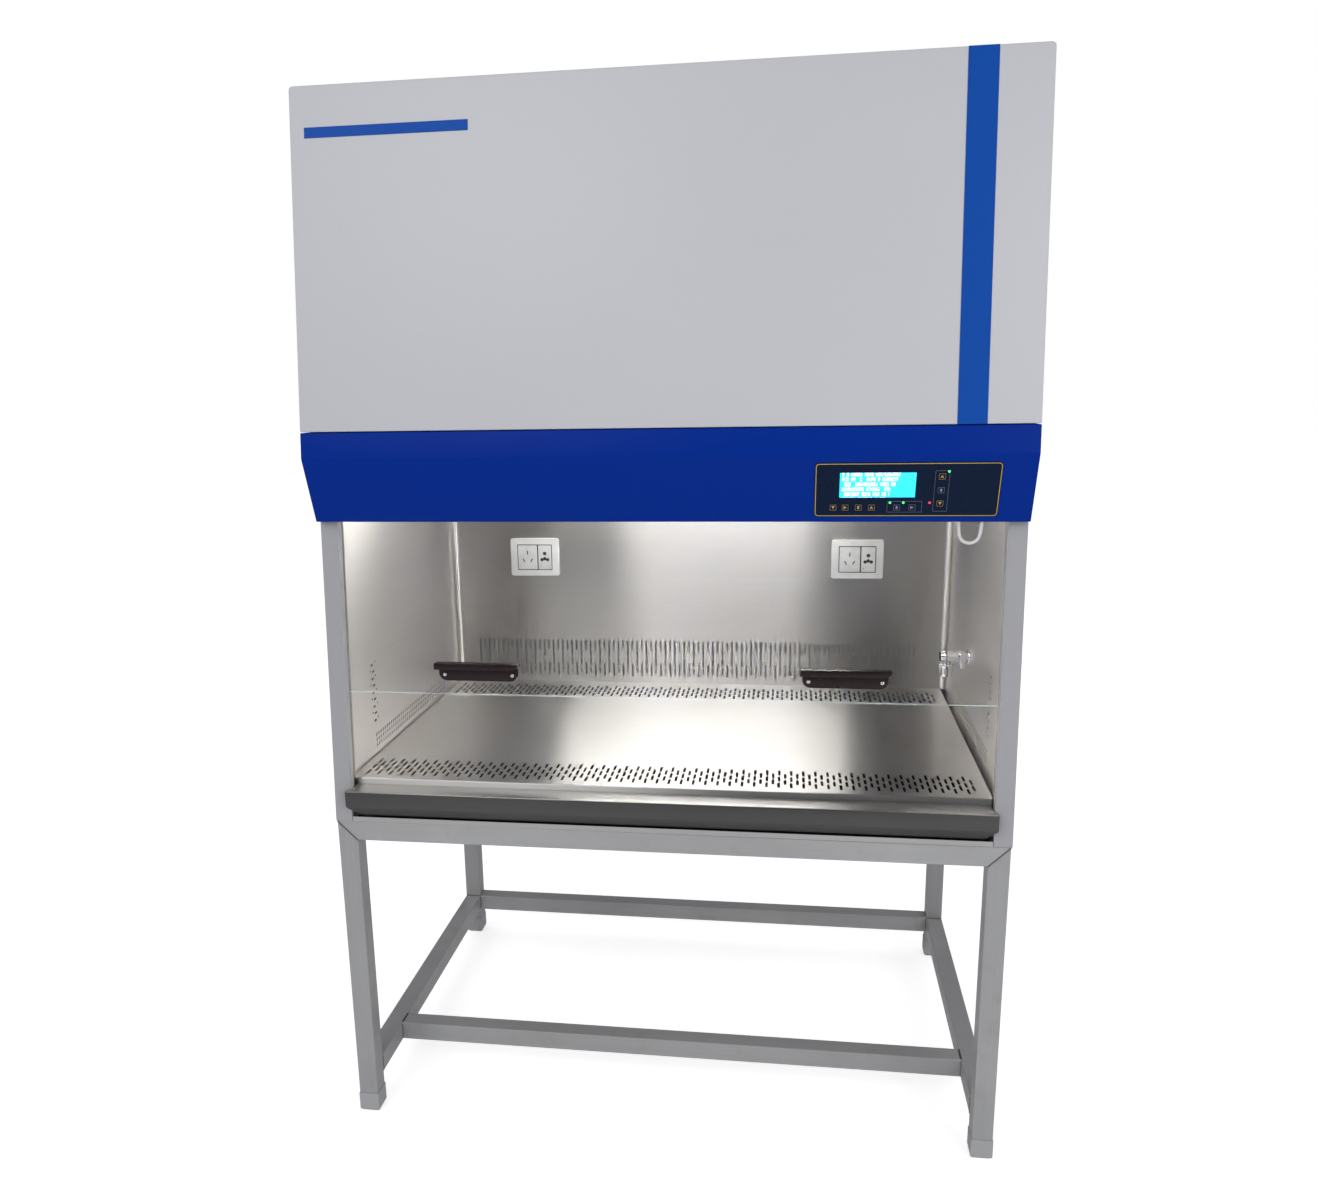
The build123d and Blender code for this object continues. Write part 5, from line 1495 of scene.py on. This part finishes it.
@dataclass
class Sockets:
    """Outlet plates on the back wall, each with a wide and a narrow insert."""

    centres: tuple = (mm(-413.0, 1070.5), mm(403.0, 1068.5))
    size: Flat = (0.127, 0.097)
    corner: float = 0.007
    thickness: float = 0.008
    plate_round: float = 0.0018
    module_height: float = 0.062
    wide: float = 0.050
    narrow: float = 0.034
    gap: float = 0.003
    module_corner: float = 0.0015
    module_round: float = 0.0004
    module_depth: float = 0.002
    module_rise: float = 0.0015
    border: float = 0.0020
    border_depth: float = 0.0004
    border_rise: float = 0.0003
    pin_rise: float = 0.00155
    pin_depth: float = 0.0006
    pin_size: Flat = (0.0026, 0.010)
    flat_pins: tuple = ((0.0, 0.012, 0.0), (-0.010, -0.008, 0.5), (0.010, -0.008, -0.5))
    round_pins: tuple = ((0.0, 0.010, 0.0046), (-0.0075, -0.006, 0.0042), (0.0075, -0.006, 0.0042),
                         (0.0, -0.0035, 0.0045))
    mark: float = 0.0012
    mark_depth: float = 0.0003
    mark_rise: float = 0.0001
    mark_place: Flat = (-0.011, -0.0225)

    def rectangle(self, size: Flat, corner: float, middle: float = 0.0, steps: int = 5) -> list[Flat]:
        """Rounded rectangle about a point of the plate's middle line.

        Args:
            size: its width and height.
            corner: radius of its corners.
            middle: its middle along the plate.
            steps: segments in each corner.
        Returns:
            Its outline.
        """
        half, tall = size[0] / 2, size[1] / 2
        return rounded_rectangle((middle - half, -tall), (middle + half, tall), corner, steps)

    def build(self) -> None:
        """Plates with softened rims, inserts, one small red mark each, and near-black solids that paint the
        shade in the gap round the inserts and in the pin openings.
        """
        plates, inserts, opening_shade, marks = Shape(), Shape(), Shape(), Shape()
        total = self.wide + self.gap + self.narrow
        wide_x, narrow_x = (self.wide - total) / 2, (total - self.narrow) / 2
        face, top = self.thickness, self.thickness + self.pin_rise
        for x, z in self.centres:
            place = Matrix.Translation((x, BACK_WALL_Y, z)) @ FACING_USER
            plates.prism(self.rectangle(self.size, self.corner), face, place @ raised(face), self.plate_round)
            # Painted shade: near-black solids stand for the dark gap round the inserts and, below, for the
            # pin openings.
            border = (total + 2 * self.border, self.module_height + 2 * self.border)
            opening_shade.prism(self.rectangle(border, self.module_corner), self.border_depth,
                        place @ raised(face + self.border_rise))
            for width, middle in ((self.wide, wide_x), (self.narrow, narrow_x)):
                inserts.prism(self.rectangle((width, self.module_height), self.module_corner, middle),
                              self.module_depth, place @ raised(face + self.module_rise), self.module_round)
            for along, up, turn in self.flat_pins:
                opening_shade.prism(self.rectangle(self.pin_size, self.pin_depth, steps=3), self.pin_depth,
                            place @ Matrix.Translation((wide_x + along, up, top))
                            @ Matrix.Rotation(turn, 4, "Z"))
            for along, up, radius in self.round_pins:
                opening_shade.lathe([(0.0, -self.pin_depth), (radius, -self.pin_depth), (radius, 0.0), (0.0, 0.0)],
                            place @ Matrix.Translation((narrow_x + along, up, top)), steps=20)
            along, up = self.mark_place
            marks.block((-self.mark, -self.mark, -self.mark_depth), (self.mark, self.mark, 0.0),
                        place=place @ Matrix.Translation((narrow_x + along, up, top + self.mark_rise)))
        plates.finish("outlet_plates", SOCKET_PLASTIC, nodes=["socket_plates"], slot="socket_plastic")
        inserts.finish("outlet_inserts", MODULE_PLASTIC, nodes=["socket_modules"], slot="module_plastic")
        # Painted shade: the openings' solids take the controller's near-black plastic.
        opening_shade.finish("outlet_openings", CONTROLLER_PLASTIC, slot="module_plastic")
        marks.finish("outlet_marks", RED_INK, slot="module_plastic")


@dataclass
class GasTap:
    """Chrome tap on the right wall."""

    y: float = 0.438
    z: float = 0.910
    ball: float = 0.015
    ball_reach: float = 0.049
    ball_start: float = -50.0
    ball_step: float = 20.0
    ball_steps: int = 5
    neck: float = 0.0095
    cap: float = 0.0125
    disc_gap: float = 0.0001
    nozzle_reach: float = 0.016
    flutes: int = 14
    flute_depth: float = 0.07
    flute_ends: Flat = (-0.026, -0.005)

    def body(self) -> None:
        """Turned body with flange, collar and ball, and below it the nozzle and the knob's spindle."""
        shape = Shape()
        stem = profile((0, 0), (17, 0), (17, 3), (15.5, 5.5), (8.5, 6), (8.5, 9), (12.5, 9.5), (13.5, 10.5),
                       (13.5, 21.5), (12.5, 22.5), (8.5, 23), (7.8, 28), (9.5, 33), (9.5, 36))
        angles = [radians(self.ball_start + self.ball_step * step) for step in range(self.ball_steps + 1)]
        stem += [(self.ball * cos(angle), self.ball_reach + self.ball * sin(angle)) for angle in angles]
        stem += [(self.neck, self.ball_reach + self.cap), (0.0, self.ball_reach + self.cap)]
        shape.lathe(stem, self.along(), steps=40)
        nozzle = profile((0, 0), (7.5, 0), (7.5, -14.5), (6, -16), (6, -19.5), (5.2, -20), (5.2, -25.5),
                         (4, -26), (0, -26))
        shape.lathe(nozzle, Matrix.Translation((WALL_X - self.nozzle_reach, self.y, self.z)), steps=28)
        spindle = profile((0, -10), (9, -10.5), (9.5, -15), (4, -15.2), (4, -30), (0, -30))
        shape.lathe(spindle, Matrix.Translation((WALL_X - self.ball_reach, self.y, self.z)), steps=28)
        shape.finish("tap_chrome", TAP_CHROME, nodes=["tap_body"], slot="tap_metal", smooth=40.0)

    def along(self) -> Matrix:
        """Frame on the wall whose Z runs out along the tap.

        Returns:
            The frame.
        """
        return Matrix.Translation((WALL_X, self.y, self.z)) @ Matrix.Rotation(-pi / 2, 4, "Y")

    def disc(self) -> None:
        """Dark disc on the ball's end."""
        shape = Shape()
        rim = profile((0, 0), (9.8, 0), (10.5, 0.6), (10.5, 2.4), (9.5, 3), (0, 3))
        shape.lathe(rim, self.along() @ raised(self.ball_reach + self.cap + self.disc_gap), steps=32)
        shape.finish("tap_index_disc", TAP_INDEX, slot="tap_metal")

    def knob(self) -> None:
        """Tapered knob whose skirt is fluted all round."""
        shape = Shape()
        side = profile((0, 0), (14.5, 0), (15.8, -1.5), (15.8, -4.5), (15, -6), (14.2, -16), (13.5, -25.5),
                       (12, -27.6), (0, -28))
        shape.lathe(side, steps=self.flutes * 4)
        for vert in shape.mesh.verts:
            if self.flute_ends[0] < vert.co.z < self.flute_ends[1]:
                wave = 0.5 - 0.5 * cos(atan2(vert.co.y, vert.co.x) * self.flutes)
                vert.co.x *= 1.0 - self.flute_depth * wave
                vert.co.y *= 1.0 - self.flute_depth * wave
        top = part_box("tap_knob")[1].z
        shape.move(shape.mesh.verts, Matrix.Translation((WALL_X - self.ball_reach, self.y, top)))
        shape.finish("tap_fluted_knob", TAP_CHROME, body="tap_knob", nodes=["tap_knob"], slot="knob_plastic",
                     smooth=40.0)

    def build(self) -> None:
        """Builds the tap."""
        self.body()
        self.disc()
        self.knob()


@dataclass
class Shell:
    """Painted hood and front cover with their folded edges."""

    fold: float = 0.0018
    round_top: float = 0.007
    cover_lean: float = 0.070
    cover_gap: float = 0.0003

    def hood(self) -> None:
        """Hood as a closed folded form behind its control panel."""
        section = [(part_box("service_cover")[0].y - FRONT_Y, HOOD_HIGH.z), (HOOD_FRONT_Y, BEND_Z),
                   (HOOD_FOOT_Y, HOOD_LOW.z), (lean_y(HOOD_LOW.z), HOOD_LOW.z),
                   (lean_y(HOOD_HIGH.z), HOOD_HIGH.z)]
        shape = Shape()
        shape.prism(section, HOOD_HIGH.x - HOOD_LOW.x, side_on(HOOD_HIGH.x))
        shape.soften(self.fold, segments=4, sharper=0.3)
        shape.finish("hood_shell", HOOD_PAINT, nodes=["hood"], slot="hood_paint")

    def cover(self) -> None:
        """Upper cover with softened edges and rounded upper corners."""
        low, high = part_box("service_cover")
        front = low.y - FRONT_Y
        section = [(front, low.z), (front + self.cover_lean, high.z),
                   (lean_y(high.z) - self.cover_gap, high.z), (lean_y(low.z) - self.cover_gap, low.z)]
        shape = Shape()
        shape.prism(section, high.x - low.x, side_on(high.x))
        corners = [edge for edge in shape.mesh.edges
                   if all(vert.co.z > high.z - 1e-5 for vert in edge.verts)
                   and abs(edge.verts[0].co.x - edge.verts[1].co.x) < 1e-6]
        bmesh.ops.bevel(shape.mesh, geom=corners, offset=self.round_top, affect="EDGES", segments=6,
                        profile=0.5, material=-1)
        shape.soften(self.fold)
        shape.finish("cover_shell", PANEL_PAINT, body="service_cover", nodes=["service_cover"],
                     slot="panel_paint")

    def build(self) -> None:
        """Builds both pieces."""
        self.hood()
        self.cover()


@dataclass
class Welds:
    """Rippled weld beads at the stand's corners and where its lower rails meet the legs."""

    tube: float = 0.040
    stand_depth: float = 0.828
    narrow: float = 0.0042
    wide: float = 0.005
    sides: int = 8
    step: float = 0.22
    least_steps: int = 4
    ripple: float = 2.6
    swell: Flat = (0.75, 0.25)
    taper: float = 0.3
    crown: float = 0.3
    proud: Flat = (0.0002, 0.0005)
    short: float = 0.001
    inset: float = 0.002
    rail_edges: Flat = (0.071, 0.111)
    cross_edges: Flat = (0.160, 0.200)

    def bead(self, shape: Shape, start: Point, end: Point, width: float) -> None:
        """Adds one bead along a joint.

        Args:
            shape: the mesh that takes it.
            start: where the joint starts.
            end: where it ends.
            width: the bead's width.
        """
        run = Vector(end) - Vector(start)
        count = max(int(run.length / (width * self.step)), self.least_steps)
        turn = run.to_track_quat("X", "Z").to_matrix()
        rings = []
        for index in range(count + 1):
            swell = self.swell[0] + self.swell[1] * abs(sin(index * pi / self.ripple))
            swell *= self.taper if index in (0, count) else 1.0
            middle = Vector(start) + run * index / count
            angles = (2 * pi * side / self.sides for side in range(self.sides))
            across, rise = width / 2 * swell, width * self.crown * swell
            rings.append([middle + turn @ Vector((0.0, across * cos(angle), rise * sin(angle)))
                          for angle in angles])
        shape.skin(rings)

    def build(self) -> None:
        """Adds every bead of the stand to one piece."""
        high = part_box("stand_legs")[1]
        (out, down), (rail_low, rail_high) = self.proud, self.rail_edges
        under, shape = high.z - self.tube, Shape()
        low_end, high_end = rail_low + self.inset, rail_high - self.inset
        for side in (-1, 1):
            outer, inner = side * high.x, side * (high.x - self.tube)
            self.bead(shape, (outer, -out, high.z - down), (inner, -out, under), self.narrow)
            self.bead(shape, (inner, self.short, under), (inner, self.tube - self.short, under), self.wide)
            for y in (self.tube, self.stand_depth - self.tube):
                for z in self.rail_edges:
                    self.bead(shape, (outer - side * self.inset, y, z), (inner + side * self.inset, y, z),
                              self.wide)
                for x in (outer, inner):
                    self.bead(shape, (x, y, low_end), (x, y, high_end), self.wide)
            cross_front, cross_back = self.cross_edges
            for z in self.rail_edges:
                self.bead(shape, (inner, cross_front + self.inset, z), (inner, cross_back - self.inset, z),
                          self.wide)
            for y in self.cross_edges:
                self.bead(shape, (inner, y, low_end), (inner, y, high_end), self.wide)
        shape.finish("weld_beads", WELD_STEEL, slot="stand_steel", smooth=60.0)


@dataclass
class HangingTube:
    """Short white tube that hangs in a loop below the hood."""

    diameter: float = 0.006
    length: float = 0.0981
    round_steps: int = 6
    length_steps: int = 12
    points: tuple = (mm(530.5, 30.0, 1253.5), mm(530.5, 30.0, 1237.0), mm(535.0, 31.0, 1220.0),
                     mm(549.5, 31.0, 1213.5), mm(564.0, 31.0, 1219.0), mm(569.5, 30.0, 1236.0),
                     mm(569.5, 30.0, 1253.5))

    def build(self) -> None:
        """The tube as one smooth curve along its route."""
        data = bpy.data.curves.new("white_tube", "CURVE")
        data.dimensions = "3D"
        data.bevel_depth = self.diameter / 2
        data.bevel_resolution = self.round_steps
        data.resolution_u = self.length_steps
        data.use_fill_caps = True
        spline = data.splines.new("NURBS")
        spline.points.add(len(self.points) - 1)
        for point, (x, y, z) in zip(spline.points, self.points):
            point.co = (x, y + FRONT_Y, z, 1.0)
        spline.order_u = 3
        spline.use_endpoint_u = True
        data.materials.append(TUBE_SILICONE.material())
        tube = bpy.data.objects.new("white_tube", data)
        bpy.context.scene.collection.objects.link(tube)
        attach(tube, ROOT)
        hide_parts("hanging_tube")
        x, y, z = self.points[0]
        log.info("piece white_tube: a cord")


@dataclass(frozen=True)
class Softbox:
    """Soft area light that faces the middle of the object."""

    name: str
    place: Point
    aim_height: float
    size: Flat
    power: float

    def build(self) -> None:
        """Adds the light."""
        data = bpy.data.lights.new(self.name, "AREA")
        data.shape = "RECTANGLE"
        data.size, data.size_y = self.size
        data.energy = self.power
        light = bpy.data.objects.new(self.name, data)
        light.location = self.place
        aim = Vector((0.0, FRONT_Y, self.aim_height)) - Vector(self.place)
        light.rotation_euler = aim.to_track_quat("-Z", "Y").to_euler()
        bpy.context.scene.collection.objects.link(light)


@dataclass
class Studio:
    """Camera, lights and the pale floor."""

    focal_pixels: float = 1085.4
    centre_pixel: Flat = (636.8, 635.7)
    place: Point = (0.2418, -1.9255, 1.4883)
    yaw: float = 0.1441
    pitch: float = -0.2233
    roll: float = 0.01745
    floor_size: float = 60.0
    floor_color: Point = (0.86, 0.86, 0.86)
    floor_glow: float = 0.62
    ambient: float = 0.62
    mirrored: float = 0.14
    room_stops: tuple = ((0.35, (0.20, 0.20, 0.21, 1.0)), (0.85, (0.95, 0.96, 1.0, 1.0)))
    softboxes: tuple = (Softbox("key", (-1.6, -3.6, 3.0), 1.4, (2.4, 2.0), 40.0),
                        Softbox("fill", (2.6, -3.0, 2.0), 1.2, (2.0, 2.4), 34.0))

    def camera(self) -> None:
        """Places the camera where the photograph was taken from."""
        data = bpy.data.cameras.new("photo_camera")
        data.lens = self.focal_pixels / PHOTO_WIDTH * data.sensor_width
        data.shift_x = (PHOTO_WIDTH / 2 - self.centre_pixel[0]) / PHOTO_WIDTH
        data.shift_y = (self.centre_pixel[1] - PHOTO_HEIGHT / 2) / PHOTO_WIDTH
        turn = (Matrix.Rotation(self.yaw, 3, "Z") @ Matrix.Rotation(self.pitch, 3, "X")
                @ Matrix.Rotation(self.roll, 3, "Y"))
        right, forward, up = (turn.col[index] for index in range(3))
        camera = bpy.data.objects.new("photo_camera", data)
        rotation = Matrix((right, up, -forward)).transposed()
        x, y, z = self.place
        camera.matrix_world = Matrix.Translation((x, y + FRONT_Y, z)) @ rotation.to_4x4()
        bpy.context.scene.collection.objects.link(camera)
        bpy.context.scene.camera = camera

    def world(self) -> None:
        """White towards the camera, a soft grey room for other rays, and a darker one in reflections."""
        world = bpy.data.worlds.new("studio")
        bpy.context.scene.world = world
        world.use_nodes = True
        tree = world.node_tree
        tree.nodes.clear()
        output, mix = tree.nodes.new("ShaderNodeOutputWorld"), tree.nodes.new("ShaderNodeMixShader")
        seen, room = tree.nodes.new("ShaderNodeBackground"), tree.nodes.new("ShaderNodeBackground")
        seen.inputs["Color"].default_value = (1.0, 1.0, 1.0, 1.0)
        coordinates, split = tree.nodes.new("ShaderNodeTexCoord"), tree.nodes.new("ShaderNodeSeparateXYZ")
        height, ramp = tree.nodes.new("ShaderNodeMapRange"), tree.nodes.new("ShaderNodeValToRGB")
        height.inputs["From Min"].default_value = -1.0
        for element, (position, color) in zip(ramp.color_ramp.elements, self.room_stops):
            element.position = position
            element.color = color
        path, dim = tree.nodes.new("ShaderNodeLightPath"), tree.nodes.new("ShaderNodeMapRange")
        dim.inputs["To Min"].default_value = self.ambient
        dim.inputs["To Max"].default_value = self.mirrored
        for start, end in ((coordinates.outputs["Generated"], split.inputs[0]),
                           (split.outputs["Z"], height.inputs["Value"]),
                           (height.outputs["Result"], ramp.inputs["Fac"]),
                           (ramp.outputs["Color"], room.inputs["Color"]),
                           (path.outputs["Is Glossy Ray"], dim.inputs["Value"]),
                           (dim.outputs["Result"], room.inputs["Strength"]),
                           (path.outputs["Is Camera Ray"], mix.inputs[0]),
                           (room.outputs[0], mix.inputs[1]), (seen.outputs[0], mix.inputs[2]),
                           (mix.outputs[0], output.inputs["Surface"])):
            tree.links.new(start, end)

    def floor(self) -> None:
        """Adds the pale floor, whose own faint light keeps it near white."""
        mesh = bmesh.new()
        bmesh.ops.create_grid(mesh, x_segments=1, y_segments=1, size=self.floor_size / 2)
        data = bpy.data.meshes.new("floor")
        mesh.to_mesh(data)
        mesh.free()
        graph = Graph("floor_pale")
        matt = graph.add("ShaderNodeBsdfDiffuse", {"Color": rgba(self.floor_color)}).outputs[0]
        glow = graph.add("ShaderNodeEmission", {"Color": rgba((1.0, 1.0, 1.0)),
                                                "Strength": self.floor_glow}).outputs[0]
        seen = graph.add("ShaderNodeLightPath").outputs["Is Camera Ray"]
        both = graph.add("ShaderNodeAddShader", {0: matt, 1: glow}).outputs[0]
        mixed = graph.add("ShaderNodeMixShader", {0: seen, 1: matt, 2: both}).outputs[0]
        data.materials.append(graph.close(mixed))
        floor = bpy.data.objects.new("floor", data)
        bpy.context.scene.collection.objects.link(floor)

    def build(self) -> None:
        """Builds the whole studio."""
        self.camera()
        self.world()
        self.floor()
        for softbox in self.softboxes:
            softbox.build()
        bpy.context.scene.view_settings.view_transform = "Standard"
        log.info("studio ready")


def main() -> None:
    """Builds the scene in order."""
    Studio().build()
    HangingTube().build()
    dress_nodes()
    for part in (Chamber(), Sash(), Counterbalance(), ControlPanel(), Sockets(), GasTap(), Shell(), Welds()):
        part.build()
        log.info("built %s", type(part).__name__)


if __name__ == "__main__":
    logging.basicConfig(level=logging.INFO, format="%(message)s")
    main()
